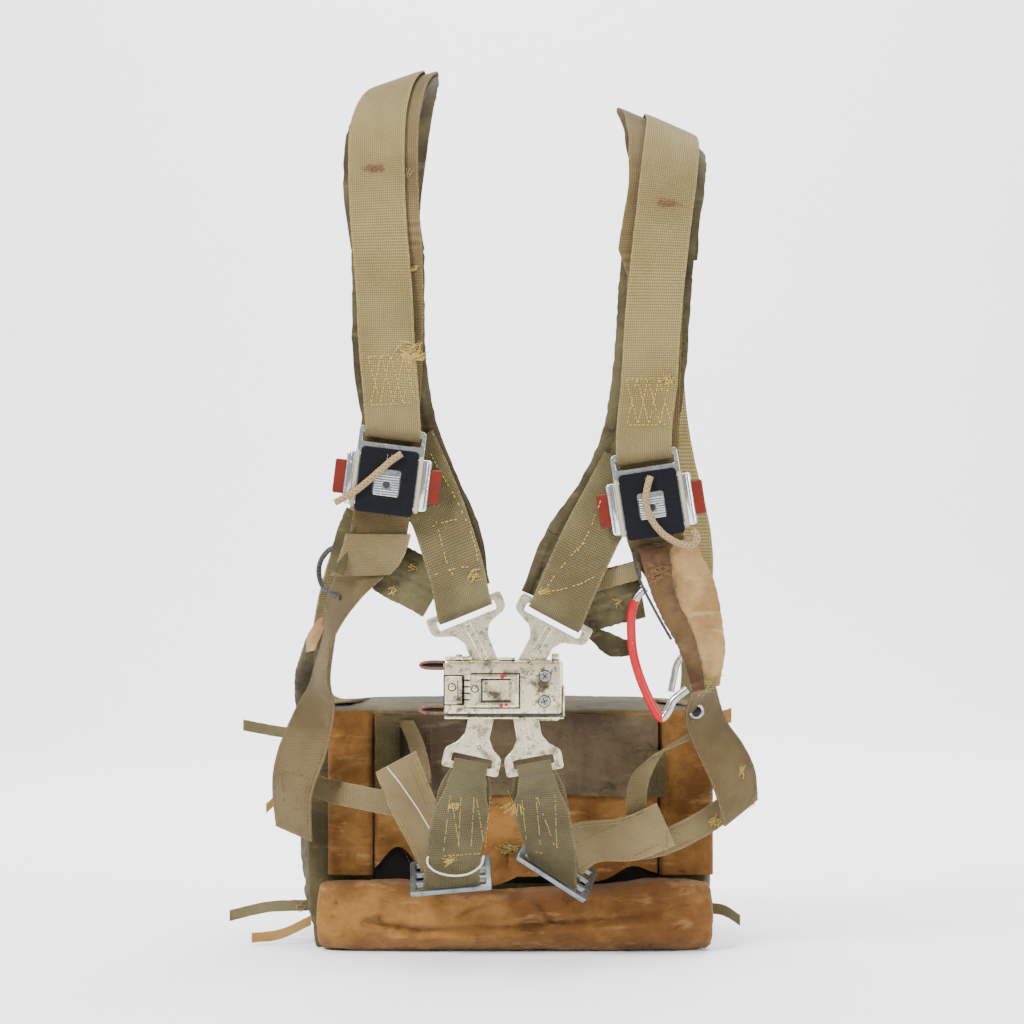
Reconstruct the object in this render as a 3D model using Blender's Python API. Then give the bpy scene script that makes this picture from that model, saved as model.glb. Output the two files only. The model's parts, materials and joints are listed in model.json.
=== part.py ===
"""A packed parachute: a laced seat pack with its worn harness, standing on the pack's base.

Run it with: blender --background --python part.py
The front of the harness faces -Y, +Z is up, and the origin is on the floor under the pack.
Tables and sizes are in millimetres; the model is in metres.
"""

import math
from collections import namedtuple

import bmesh
import bpy
from mathutils import Matrix, Vector

MM = 0.001

# The origin, on the floor under the middle of the pack
ORIGIN_X = 4.0
ORIGIN_Y = 123.0

# Webbing and cloth
WEB_WIDTH = 44.0
WEB = 2.0
GAP = 0.6
SEAT_GAP = 0.3
PAD = 6.0
TAPE = 1.4
LAYER = WEB + GAP

# The pack
PACK_LEFT = -163.0
PACK_RIGHT = 170.0
PACK_FRONT = 42.0
PACK_BACK = 204.0
PACK_TOP = 192.0
BAND_FRONT = 4.0
BAND_TOP = 54.0

# The four-point lock
LOCK_WIDTH = 90.0
LOCK_HEIGHT = 42.0
LOCK_DEPTH = 22.0
LUG = 3.0
STEM_WIDTH = 19.0

# A canopy release
RELEASE_DEPTH = 15.0
RELEASE_WIDTH = 65.0
COVER_WIDTH = 44.0
COVER = 2.8
SLIDER_TRAVEL = 3.5
RUNNING = 0.4
YOKE = 3.4

# A leg-strap adaptor
ADAPTOR_WIDTH = 64.0
ADAPTOR_HEIGHT = 32.0
ADAPTOR = 4.0

Station = namedtuple("Station", "x y z tilt turn")
Frame = namedtuple("Frame", "centre side")
Corner = namedtuple("Corner", "x z radius")
Finish = namedtuple("Finish", "colour roughness metallic")

FINISHES = {
    "webbing": Finish((0.42, 0.36, 0.26), 0.9, 0.0),
    "olive_webbing": Finish((0.30, 0.26, 0.18), 0.92, 0.0),
    "padding": Finish((0.28, 0.25, 0.18), 0.95, 0.0),
    "canvas": Finish((0.52, 0.29, 0.10), 0.95, 0.0),
    "olive_cloth": Finish((0.22, 0.20, 0.13), 0.95, 0.0),
    "satin": Finish((0.33, 0.25, 0.17), 0.7, 0.0),
    "pocket_cloth": Finish((0.55, 0.40, 0.22), 0.85, 0.0),
    "dark_lining": Finish((0.02, 0.018, 0.016), 0.9, 0.0),
    "cast_metal": Finish((0.62, 0.58, 0.50), 0.45, 1.0),
    "chrome": Finish((0.75, 0.76, 0.74), 0.25, 1.0),
    "black_shell": Finish((0.03, 0.028, 0.035), 0.35, 0.0),
    "red_paint": Finish((0.50, 0.06, 0.03), 0.4, 0.0),
    "cord": Finish((0.60, 0.43, 0.24), 0.9, 0.0),
    "steel": Finish((0.45, 0.50, 0.52), 0.4, 1.0),
}


# Shared helpers


def material(name):
    """The named finish as a Principled material, made once."""
    found = bpy.data.materials.get(name)
    if found:
        return found
    finish = FINISHES[name]
    made = bpy.data.materials.new(name)
    made.use_nodes = True
    shader = made.node_tree.nodes["Principled BSDF"]
    shader.inputs["Base Color"].default_value = (*finish.colour, 1.0)
    shader.inputs["Roughness"].default_value = finish.roughness
    shader.inputs["Metallic"].default_value = finish.metallic
    return made


def add_object(name, finish, mesh, place=None):
    """Links a mesh as the object of that name, at a place given in metres."""
    made = bpy.data.objects.new(name, mesh)
    mesh.materials.append(material(finish))
    bpy.context.scene.collection.objects.link(made)
    if place is not None:
        made.matrix_world = place
    return made


def mesh_from(bm, name):
    """The finished mesh of a bmesh, its faces turned outwards."""
    bmesh.ops.recalc_face_normals(bm, faces=bm.faces)
    if bm.calc_volume(signed=True) < 0:
        bmesh.ops.reverse_faces(bm, faces=bm.faces)
    mesh = bpy.data.meshes.new(name)
    bm.to_mesh(mesh)
    bm.free()
    return mesh


def seat(x, y, z, tilt=0.0, pitch=0.0, turn=0.0):
    """A hard part's place: tilt lifts its +X end, pitch moves its top backwards, turn is about Z."""
    spin = (
        Matrix.Rotation(math.radians(turn), 4, "Z")
        @ Matrix.Rotation(-math.radians(tilt), 4, "Y")
        @ Matrix.Rotation(-math.radians(pitch), 4, "X")
    )
    return Matrix.Translation(Vector((x, y, z)) * MM) @ spin


def cut(target, cutter):
    """Cuts the cutter out of the target."""
    cutter.hide_render = True
    cutter.display_type = "WIRE"
    change = target.modifiers.new("cut " + cutter.name, "BOOLEAN")
    change.operation = "DIFFERENCE"
    change.object = cutter


def join(target, piece):
    """Joins a helper's shape to the target as one body."""
    piece.hide_render = True
    piece.display_type = "WIRE"
    change = target.modifiers.new("join " + piece.name, "BOOLEAN")
    change.operation = "UNION"
    change.object = piece


def box(name, finish, low, high, place, bevel=0.0, segments=1):
    """A box between two local corners, with bevelled edges where asked."""
    bm = bmesh.new()
    bmesh.ops.create_cube(bm, size=1.0)
    for vert in bm.verts:
        share = [c + 0.5 for c in vert.co]
        vert.co = Vector([low[i] + share[i] * (high[i] - low[i]) for i in range(3)]) * MM
    if bevel:
        bmesh.ops.bevel(
            bm, geom=bm.edges[:], offset=bevel * MM, segments=segments, affect="EDGES", profile=0.5
        )
    return add_object(name, finish, mesh_from(bm, name), place)


def disc(name, finish, radius, depth, place, around=16):
    """A short round pin whose axis is the place's Y axis."""
    bm = bmesh.new()
    turned = Matrix.Rotation(math.radians(90), 4, "X")
    bmesh.ops.create_cone(
        bm, cap_ends=True, segments=around, radius1=radius * MM, radius2=radius * MM,
        depth=depth * MM, matrix=turned,
    )
    return add_object(name, finish, mesh_from(bm, name), place)


def rounded(corners, steps=4):
    """The points of a closed outline whose corners are rounded by their radii."""
    points = []
    for i, corner in enumerate(corners):
        here = Vector((corner.x, corner.z))
        if not corner.radius:
            points.append(here)
            continue
        before = Vector(corners[i - 1][:2]) - here
        after = Vector(corners[(i + 1) % len(corners)][:2]) - here
        half = before.angle(after) / 2
        reach = min(corner.radius / math.tan(half), 0.48 * before.length, 0.48 * after.length)
        radius = reach * math.tan(half)
        inward = (before.normalized() + after.normalized()).normalized()
        centre = here + inward * (radius / math.sin(half))
        first = here + before.normalized() * reach - centre
        last = here + after.normalized() * reach - centre
        sweep = first.angle_signed(last)
        for k in range(steps + 1):
            turned = first.copy()
            turned.rotate(Matrix.Rotation(-sweep * k / steps, 2))
            points.append(centre + turned)
    return points


def plate(name, finish, outlines, thickness, place):
    """A flat plate in its local XZ plane, with every outline after the first cut out of it."""
    curve = bpy.data.curves.new(name, "CURVE")
    curve.dimensions = "2D"
    curve.fill_mode = "BOTH"
    curve.extrude = thickness / 2 * MM
    for outline in outlines:
        line = curve.splines.new("POLY")
        line.points.add(len(outline) - 1)
        for spot, point in zip(line.points, outline):
            spot.co = (point.x * MM, point.y * MM, 0.0, 1.0)
        line.use_cyclic_u = True
    holder = bpy.data.objects.new(name + "_curve", curve)
    bpy.context.scene.collection.objects.link(holder)
    bpy.context.view_layer.update()
    bm = bmesh.new()
    bm.from_mesh(holder.to_mesh())
    holder.to_mesh_clear()
    bpy.data.objects.remove(holder)
    bmesh.ops.remove_doubles(bm, verts=bm.verts, dist=1e-6)
    bmesh.ops.rotate(bm, verts=bm.verts, matrix=Matrix.Rotation(math.radians(90), 3, "X"))
    return add_object(name, finish, mesh_from(bm, name), place)


# Webbing, laid on frames along a line


def blend_rows(rows, per_span):
    """Numbers on a smooth line through the rows, the rows themselves included."""
    out = []
    last = len(rows) - 1
    for i in range(last):
        p0, p1 = rows[max(i - 1, 0)], rows[i]
        p2, p3 = rows[i + 1], rows[min(i + 2, last)]
        for k in range(per_span):
            t = k / per_span
            out.append([
                0.5 * (2 * b + (c - a) * t + (2 * a - 5 * b + 4 * c - d) * t * t
                       + (3 * b - a - 3 * c + d) * t ** 3)
                for a, b, c, d in zip(p0, p1, p2, p3)
            ])
    out.append(list(rows[last]))
    return out


def frames_through(stations, per_span=3):
    """Frames on a smooth line through the stations, a station's tilt and turn giving the way across."""
    frames = []
    for x, y, z, tilt, turn in blend_rows(stations, per_span):
        lean, swing = math.radians(tilt), math.radians(turn)
        side = Vector((
            math.cos(lean) * math.cos(swing), math.cos(lean) * math.sin(swing), math.sin(lean)
        ))
        frames.append(Frame(Vector((x, y, z)), side))
    return frames


def faces_of(frames):
    """The outward face direction at each frame."""
    out = []
    for i, frame in enumerate(frames):
        before = frames[max(i - 1, 0)].centre
        after = frames[min(i + 1, len(frames) - 1)].centre
        out.append(frame.side.cross((after - before).normalized()).normalized())
    return out


def ramp(share, knots):
    """The value at a share of the length, from (share, value) knots or one number."""
    if not isinstance(knots, (list, tuple)):
        return knots
    if share <= knots[0][0]:
        return knots[0][1]
    for (s0, v0), (s1, v1) in zip(knots, knots[1:]):
        if share <= s1:
            t = (share - s0) / (s1 - s0)
            return v0 + (v1 - v0) * t * t * (3 - 2 * t)
    return knots[-1][1]


def moved(frames, shift=0.0, lift=0.0):
    """The frames moved across by shift and outwards by lift, each a number or knots along them."""
    last = len(frames) - 1
    return [
        Frame(f.centre + f.side * ramp(i / last, shift) + n * ramp(i / last, lift), f.side)
        for i, (f, n) in enumerate(zip(frames, faces_of(frames)))
    ]


def straight_out(frames, end, beside):
    """The direction past an end frame, away from the frame beside it and square to the bar there."""
    out = frames[end].centre - frames[beside].centre
    out -= frames[end].side * out.dot(frames[end].side)
    return out.normalized()


def round_bar(frames, radius, apart, back, close_in=3):
    """Frames of a webbing that comes down behind a bar at the first frame, goes round it and up in front.

    radius is the turn's, apart the distance of each layer from the middle once they have closed in,
    and back the number of frames that the back layer runs.
    """
    faces = faces_of(frames)
    down = straight_out(frames, 0, 1)

    def away(i):
        return radius + (apart - radius) * min(i / close_in, 1.0)

    path = [Frame(frames[i].centre - faces[i] * away(i), frames[i].side) for i in range(back, 0, -1)]
    steps = 6
    for k in range(steps + 1):
        angle = math.pi * k / steps
        spoke = -faces[0] * math.cos(angle) + down * math.sin(angle)
        path.append(Frame(frames[0].centre + spoke * radius, frames[0].side))
    path += [
        Frame(frames[i].centre + faces[i] * away(i), frames[i].side) for i in range(1, len(frames))
    ]
    return path


def sheet(name, finish, along, across, both_faces, place=None):
    """A closed sheet; both_faces(u, v) gives its outer and inner point in mm, u along and v across."""
    bm = bmesh.new()
    bmesh.ops.create_grid(bm, x_segments=along, y_segments=across, size=0.5)
    spot = bm.verts.layers.float_vector.new("spot")
    for vert in bm.verts:
        vert[spot] = (vert.co.x + 0.5, vert.co.y + 0.5, 0.0)
    outer = list(bm.verts)
    grown = bmesh.ops.extrude_face_region(bm, geom=bm.faces[:])
    inner = [g for g in grown["geom"] if isinstance(g, bmesh.types.BMVert)]
    for verts, which in ((outer, 0), (inner, 1)):
        for vert in verts:
            vert.co = both_faces(vert[spot].x, vert[spot].y)[which] * MM
    bm.verts.layers.float_vector.remove(spot)
    return add_object(name, finish, mesh_from(bm, name), place)


def strap(name, finish, frames, width=WEB_WIDTH, thickness=WEB, across=1, crown=0.0):
    """A webbing or a pad of one width or of knots along it; crown is the share that its edges lose."""
    last = len(frames) - 1
    faces = faces_of(frames)

    def both_faces(u, v):
        i = round(u * last)
        wide = ramp(i / last, width)
        across_it = 2 * v - 1
        half = ramp(i / last, thickness) / 2 * (1 - crown * across_it ** 4)
        centre = frames[i].centre + frames[i].side * (across_it * wide / 2)
        return centre + faces[i] * half, centre - faces[i] * half

    return sheet(name, finish, last, across, both_faces)


def filled(name, finish, cuts, shape):
    """A filled form: a cube cut into a grid, each point moved to shape(x, y, z), in mm."""
    bm = bmesh.new()
    bmesh.ops.create_cube(bm, size=2.0)
    for axis, count in enumerate(cuts):
        lengthwise = [
            e for e in bm.edges
            if abs((e.verts[0].co - e.verts[1].co).normalized()[axis]) > 0.99
        ]
        bmesh.ops.subdivide_edges(bm, edges=lengthwise, cuts=count, use_grid_fill=True)
    for vert in bm.verts:
        vert.co = shape(*vert.co) * MM
    bmesh.ops.triangulate(bm, faces=bm.faces)
    return add_object(name, finish, mesh_from(bm, name))


def rod(name, finish, points, radius, resolution=2, smooth=4):
    """A round rod or cord on a smooth line through the points, its ends closed."""
    curve = bpy.data.curves.new(name, "CURVE")
    curve.dimensions = "3D"
    curve.bevel_depth = radius * MM
    curve.bevel_resolution = resolution
    curve.use_fill_caps = True
    route = blend_rows(points, smooth)
    line = curve.splines.new("POLY")
    line.points.add(len(route) - 1)
    for spot, point in zip(line.points, route):
        spot.co = (*(Vector(point) * MM), 1.0)
    made = bpy.data.objects.new(name, curve)
    curve.materials.append(material(finish))
    bpy.context.scene.collection.objects.link(made)
    return made


def bump(value, centre, spread):
    """A smooth hill of height 1 at the centre."""
    return math.exp(-((value - centre) / spread) ** 2)


def crease(x, z, fold):
    """The depth of a soft trough along a fold's line."""
    start, line = Vector((fold.x0, fold.z0)), Vector((fold.x1 - fold.x0, fold.z1 - fold.z0))
    share = max(0.0, min(1.0, (Vector((x, z)) - start).dot(line) / line.length_squared))
    away = (Vector((x, z)) - start - line * share).length
    return fold.depth * math.exp(-(away / fold.spread) ** 2)


# The pack


def pack_side(sign, y, z):
    """The X of the pack's side wall, with y and z from -1 to 1."""
    shrink = 1 - 0.045 * z * z - 0.02 * y * y
    fold = 2.0 * math.sin(4.5 * math.pi * (y + 1)) * (1 - z ** 4) if y > -0.5 else 0.0
    middle, half = (PACK_LEFT + PACK_RIGHT) / 2, (PACK_RIGHT - PACK_LEFT) / 2
    return middle + sign * (half * shrink + fold)


def pack_body():
    """The olive container, with soft folds in its sides, a domed top and a full back."""
    middle, half = (PACK_FRONT + PACK_BACK) / 2, (PACK_BACK - PACK_FRONT) / 2

    def shape(x, y, z):
        share = (x + 1) / 2
        px = pack_side(-1, y, z) * (1 - share) + pack_side(1, y, z) * share
        back = 1 - (0.10 * z * z + 0.06 * x * x) if y > 0 else 1.0
        dome = 5.0 * (1 - x ** 4) * (1 - y ** 4) if z > 0.99 else 0.0
        return Vector((px, middle + half * y * back, PACK_TOP / 2 * (1 + z) + dome))

    filled("pack_body", "olive_cloth", (11, 9, 5), shape)


def band_rise(x):
    """How far the band's upper edge stands over its usual height: lower in the middle, higher at the ends."""
    return 3.6 - 9.0 * bump(x, 5, 75) + 1.4 * math.sin(x * 0.06)


def cover_band():
    """The canvas bottom flap, folded up over the front like a full lip."""
    back = PACK_FRONT - SEAT_GAP

    def shape(x, y, z):
        px = 10.0 + 159.0 * x * (1 - 0.012 * z ** 4)
        pz = BAND_TOP / 2 * (1 + z)
        if z > 0.0:
            pz += band_rise(px) * z * (1 - x ** 6)
        if y > 0:
            return Vector((px, back, pz))
        belly = 1 - 0.55 * max(-z, 0.0) ** 3 - 0.45 * max(z, 0.0) ** 3 - 0.35 * x ** 8
        folds = sum(crease(px, pz, fold) for fold in BAND_FOLDS) * (1 - x ** 8)
        return Vector((px, back - 7.7 - (back - 7.7 - BAND_FRONT) * belly + folds, pz))

    filled("cover_band", "canvas", (25, 0, 6), shape)


def front_panel(name, finish, left, right, thickness, across, low, top=192.0, bulge=1.5, dents=None):
    """A canvas panel against the pack's front, hanging to the height low(x)."""
    back = PACK_FRONT - SEAT_GAP

    def both_faces(u, v):
        x = left + (right - left) * v
        z = top + (low(x) - top) * u
        y = back - thickness * (1 - 0.35 * (2 * v - 1) ** 6)
        y -= bulge * math.sin(math.pi * u) * math.sin(math.pi * v)
        y += sum(crease(x, z, fold) for fold in dents or ())
        return Vector((x, min(y, back - 1.2), z)), Vector((x, back, z))

    return sheet(name, finish, 6, across, both_faces)


def pack_front():
    """The canvas panels over the pack's front, the lining between their edges and the hanging flap."""
    tuck = BAND_TOP + 5.6
    front_panel("cover_left", "canvas", -141.0, -104.5, 7.0, 5, lambda x: tuck)
    front_panel("cover_right", "canvas", 126.5, 170.0, 7.0, 5, lambda x: tuck)

    def middle_low(x):
        openings = 24.0 * bump(x, -84, 17) + 9.0 * bump(x, 22, 20) + 9.0 * bump(x, 104, 15)
        return BAND_TOP + 1.4 + band_rise(x) + openings

    front_panel("cover_middle", "canvas", -103.5, 125.5, 5.0, 18, middle_low, 190.0, 1.0, MIDDLE_FOLDS)
    front = PACK_FRONT - SEAT_GAP - 5.0

    def flap_faces(u, v):
        x = -96.0 + 221.0 * v
        z = 189.0 - 65.0 * u
        y = front - 1.5 - 1.4 * u * (1 + math.sin(x * 0.11)) - 2.0 * u * bump(x, 60, 7)
        return Vector((x, y - 1.8, z)), Vector((x, y, z))

    sheet("hanging_flap", "satin", 4, 20, flap_faces)


def ties():
    """The flat tie ends that hang out of the pack's sides and one canvas tab."""
    for row in TIES:
        left = row.points[0][0] < 0
        sign = -1 if left else 1
        deep = (row.points[0][1] - PACK_FRONT) / (PACK_BACK - PACK_FRONT) * 2 - 1
        heights = [(row.points[0][2] + h) / PACK_TOP * 2 - 1 for h in (-row.width / 2, 0, row.width / 2)]
        wall = max(pack_side(sign, deep, h) * sign for h in heights) + SEAT_GAP + 0.2
        points = ((sign * wall, *row.points[0][1:]),) + row.points[1:]
        stations = [Station(x, y, z, 90 if left else -90, 0) for x, y, z in points]
        strap(row.name, row.finish, frames_through(stations, 2), row.width, TAPE, across=1)


# The harness


def stations_of(rows):
    """Stations from plain rows."""
    return [Station(*row) for row in rows]


def release(side):
    """A canopy release: body, black cover, yoke, ribbed safety slider, two red buttons and a pull cord."""
    tag, place = side.tag, side.release
    half, deep = RELEASE_WIDTH / 2, RELEASE_DEPTH / 2 - 1.5
    body = box("release_%s_body" % tag, "chrome", (-half, -deep, -20), (half, deep, 20), place, 2.5, 2)
    for sign in (-1, 1):
        way = "outer" if (sign < 0) == (tag == "left") else "inner"
        pocket = sorted((sign * (half + 1), sign * (half - 7)))
        cutter = box(
            "button_pocket_%s_%s" % (tag, way), "chrome",
            (pocket[0], -4.0 - RUNNING, -13.0 - RUNNING), (pocket[1], 4.0 + RUNNING, 13.0 + RUNNING), place,
        )
        cut(body, cutter)
        button_place = place @ Matrix.Translation(Vector((sign * (half - 3.0) * MM, 0, 0)))
        reach = sorted((0.0, sign * 11.0))
        box(
            "release_%s_button_%s" % (tag, way), "red_paint",
            (reach[0], -4.0, -13.0), (reach[1], 4.0, 13.0), button_place, 1.2, 2,
        )
    tongue = box(
        "yoke_pocket_%s" % tag, "chrome", (-15 - SEAT_GAP, -YOKE / 2 - SEAT_GAP, 12),
        (15 + SEAT_GAP, YOKE / 2 + SEAT_GAP, 21), place,
    )
    cut(body, tongue)
    window = COVER_WIDTH / 2 - 11.8
    outline = rounded([
        Corner(-22, -25, 3), Corner(22, -25, 3), Corner(22, 25, 3), Corner(-22, 25, 3),
    ], 3)
    opening = rounded([
        Corner(-window, -11, 2), Corner(-window, 9, 2), Corner(window, 9, 2), Corner(window, -11, 2),
    ], 2)
    lift = Matrix.Translation(Vector((0, (-deep - SEAT_GAP - COVER / 2) * MM, 0)))
    plate("release_%s_cover" % tag, "black_shell", [outline, opening], COVER, place @ lift)
    slider_y = -deep - SEAT_GAP - 1.1
    slider_place = place @ Matrix.Translation(Vector((0, slider_y * MM, -1.0 * MM)))
    wide = window - RUNNING
    low, high = -10 + RUNNING, 10 - RUNNING - SLIDER_TRAVEL
    edge = rounded([Corner(-wide, low, 1.5), Corner(wide, low, 1.5), Corner(wide, high, 1.5),
                    Corner(-wide, high, 1.5)], 2)
    turns = [a * math.pi / 4 for a in range(8)]
    eye = [Vector((2.6 * math.cos(a), -1.5 - 2.6 * math.sin(a))) for a in turns]
    plate("release_%s_slider" % tag, "chrome", [edge, eye], 2.2, slider_place)
    yoke_place = place @ Matrix.Translation(Vector((0, 0, 38 * MM)))
    yoke_outline = rounded([
        Corner(-25.5, 2.5, 3), Corner(25.5, 2.5, 3), Corner(25.5, -17.3, 2), Corner(15, -17.3, 0),
        Corner(15, -25.0, 1.5), Corner(-15, -25.0, 1.5), Corner(-15, -17.3, 0), Corner(-25.5, -17.3, 2),
    ], 3)
    slot = rounded([
        Corner(-22.3, -2.5, 1), Corner(-22.3, -9.5, 1), Corner(22.3, -9.5, 1), Corner(22.3, -2.5, 1),
    ], 2)
    plate("release_%s_yoke" % tag, "chrome", [yoke_outline, slot], YOKE, yoke_place)
    rod("release_%s_cord" % tag, "cord", side.cord, 2.6, 2, 4)


def shoulder(side):
    """The riser, the main web under it and the pad, layered over one shoulder, and the chest web."""
    tag = side.tag
    riser = frames_through(stations_of(side.riser), 3)
    rolled = round_bar(riser, 4.7, 1.4, 5, 3)
    strap("riser_" + tag, "webbing", rolled, [(0.0, 42.0), (0.3, 43.0), (0.4, 44.0), (1.0, 44.0)])

    # Both under layers leave the riser's line at the crest and end behind the shoulder
    start, stop = side.crest
    last = len(riser) - 1
    under = moved(riser, [(i / last, side.inboard * shift) for i, shift in side.under], -LAYER)
    web = frames_through(stations_of(side.web), 3)
    strap("main_web_" + tag, "webbing", web + under[start:stop])
    pad = frames_through(stations_of(side.pad), 3)
    padded = [(i / last, side.inboard * shift) for i, shift in side.padded]
    over = moved(riser, padded, -LAYER - WEB / 2 - GAP - PAD / 2)
    strap("shoulder_pad_" + tag, "padding", pad + over[start + 1:stop - 1], side.pad_width, PAD, 4, 0.5)
    chest = frames_through(stations_of(side.chest), 3)
    strap("chest_web_" + tag, "olive_webbing", round_bar(chest, 4.4, 1.4, 4, 2), 43.0)
    quilt = frames_through(stations_of(side.quilt), 3)
    strap("quilt_" + tag, "padding", quilt, side.quilt_width, 4.6, 3, 0.5)


def small_gear():
    """The keeper on the left hip web, and the pocket and the grip on the right one."""
    hip = frames_through(stations_of(LEFT.web), 3)
    strap("keeper_left", "olive_webbing", moved(hip, 0.0, LAYER + 0.25)[20:24], 50.0)
    pocket = frames_through(stations_of(POCKET), 3)
    width = [(0.0, 24.0), (0.25, 30.0), (0.5, 46.0), (0.8, 44.0), (1.0, 40.0)]
    thick = [(0.0, 8.0), (0.4, 14.0), (0.75, 9.0), (1.0, 3.0)]
    strap("pocket_right", "pocket_cloth", pocket, width, thick, 6, 0.6)
    rod("grip_right", "red_paint", GRIP, 3.5, 3, 3)
    rod("grip_gate", "steel", GATE, 2.6, 2, 3)


def lug(name, place, ear, slot_half, stem):
    """A lug: a bar that the web goes round, a slot, two ears and a stem that runs into the lock."""
    outline = rounded([
        Corner(-ear, 2.5, 2.4), Corner(ear, 2.5, 2.4), Corner(ear, -11.5, 6), Corner(14, -17.5, 6),
        Corner(STEM_WIDTH / 2, -25, 5), Corner(STEM_WIDTH / 2, -stem, 0),
        Corner(-STEM_WIDTH / 2, -stem, 0), Corner(-STEM_WIDTH / 2, -25, 5), Corner(-14, -17.5, 6),
        Corner(-ear, -11.5, 6),
    ], 3)
    slot = rounded([
        Corner(-slot_half, -2.5, 1), Corner(-slot_half, -9.5, 1.5), Corner(slot_half, -9.5, 1.5),
        Corner(slot_half, -2.5, 1),
    ], 2)
    return plate(name, "cast_metal", [outline, slot], LUG, place)


def lock():
    """The four-point lock: body, latch lever, screws and pins, with its four lugs."""
    place = seat(1.0, -114.0, 219.0)
    half_w, half_h, half_d = LOCK_WIDTH / 2, LOCK_HEIGHT / 2, LOCK_DEPTH / 2
    body = box(
        "lock_body", "cast_metal", (-half_w, -half_d, -half_h), (half_w, half_d, half_h), place, 3.0, 2
    )
    hinge_x, hinge_y = -27.0, -half_d - 2.5
    for name, z_low, z_high in (("ear_upper", 10.9, 14.0), ("ear_lower", -18.0, -14.9)):
        ear = box(
            name, "cast_metal", (hinge_x - 3, hinge_y - 2, z_low), (hinge_x + 3, -half_d + 1, z_high), place,
        )
        join(body, ear)
    block = box("hinge_block", "cast_metal", (-44, -half_d - 4.0, -12), (-31, -half_d + 1, 9), place, 0.6)
    join(body, block)
    raised = box("raised_plate", "cast_metal", (-16, -half_d - 2.2, -9.5), (5, -half_d + 1, 6.5), place, 0.5)
    join(body, raised)
    knob = box("corner_knob", "cast_metal", (21, -6, -half_h - 4), (42, 5, -half_h + 2), place, 1.0)
    join(body, knob)
    for row in LUGS:
        lug_place = seat(row.x, -114.0, row.z, row.tilt)
        if row.flipped:
            lug_place = lug_place @ Matrix.Rotation(math.pi, 4, "Y")
        lug("lug_" + row.tag, lug_place, row.ear, row.slot_half, row.stem)
        pocket = box(
            "lug_pocket_" + row.tag, "cast_metal",
            (-STEM_WIDTH / 2 - SEAT_GAP, -LUG / 2 - SEAT_GAP, -row.stem - 1),
            (STEM_WIDTH / 2 + SEAT_GAP, LUG / 2 + SEAT_GAP, -row.stem + 30), lug_place,
        )
        cut(body, pocket)
    lever_place = place @ Matrix.Translation(Vector((hinge_x, hinge_y, -2.0)) * MM)
    lever = box("lock_lever", "cast_metal", (1.0, -1.4, -12.4), (38.5, 1.4, 12.4), lever_place, 1.0, 2)
    barrel = bmesh.new()
    bmesh.ops.create_cone(
        barrel, cap_ends=True, segments=16, radius1=2.0 * MM, radius2=2.0 * MM, depth=24.8 * MM
    )
    join(lever, add_object("lever_barrel", "cast_metal", mesh_from(barrel, "lever_barrel"), lever_place))
    hole = box("lever_hole", "cast_metal", (8.5, -4, -9.0), (33.5, 4, 9.4), lever_place)
    cut(lever, hole)
    for name, x, z in (("lock_screw_upper", 31.5, 9.0), ("lock_screw_lower", 31.0, -10.0)):
        spot = place @ Matrix.Translation(Vector((x, -half_d - SEAT_GAP - 0.9, z)) * MM)
        disc(name, "steel", 4.2, 1.8, spot, 14)
    for name, z in (("lock_pin_upper", 17.0), ("lock_pin_lower", -16.0)):
        turned = Matrix.Rotation(math.radians(90), 4, "Z")
        spot = place @ Matrix.Translation(Vector((-half_w - SEAT_GAP - 8.6, 0, z)) * MM) @ turned
        disc(name, "steel", 2.3, 17.2, spot, 12)


def closed_loop(frames, radius, apart, close_in=3):
    """Frames of a web that goes round a bar at each end, both its ends in the back layer."""
    faces = faces_of(frames)
    last = len(frames) - 1
    down = straight_out(frames, 0, 1)
    up = straight_out(frames, last, last - 1)

    def away(i):
        return radius + (apart - radius) * min(min(i, last - i) / close_in, 1.0)

    path = [Frame(frames[1].centre - faces[1] * away(1), frames[1].side)]
    for k in range(7):
        angle = math.pi * k / 6
        spoke = -faces[0] * math.cos(angle) + down * math.sin(angle)
        path.append(Frame(frames[0].centre + spoke * radius, frames[0].side))
    path += [Frame(frames[i].centre + faces[i] * away(i), frames[i].side) for i in range(1, last)]
    for k in range(7):
        angle = math.pi * k / 6
        spoke = faces[last] * math.cos(angle) + up * math.sin(angle)
        path.append(Frame(frames[last].centre + spoke * radius, frames[last].side))
    path += [
        Frame(frames[i].centre - faces[i] * away(i), frames[i].side) for i in range(last - 1, 1, -1)
    ]
    return path


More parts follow.
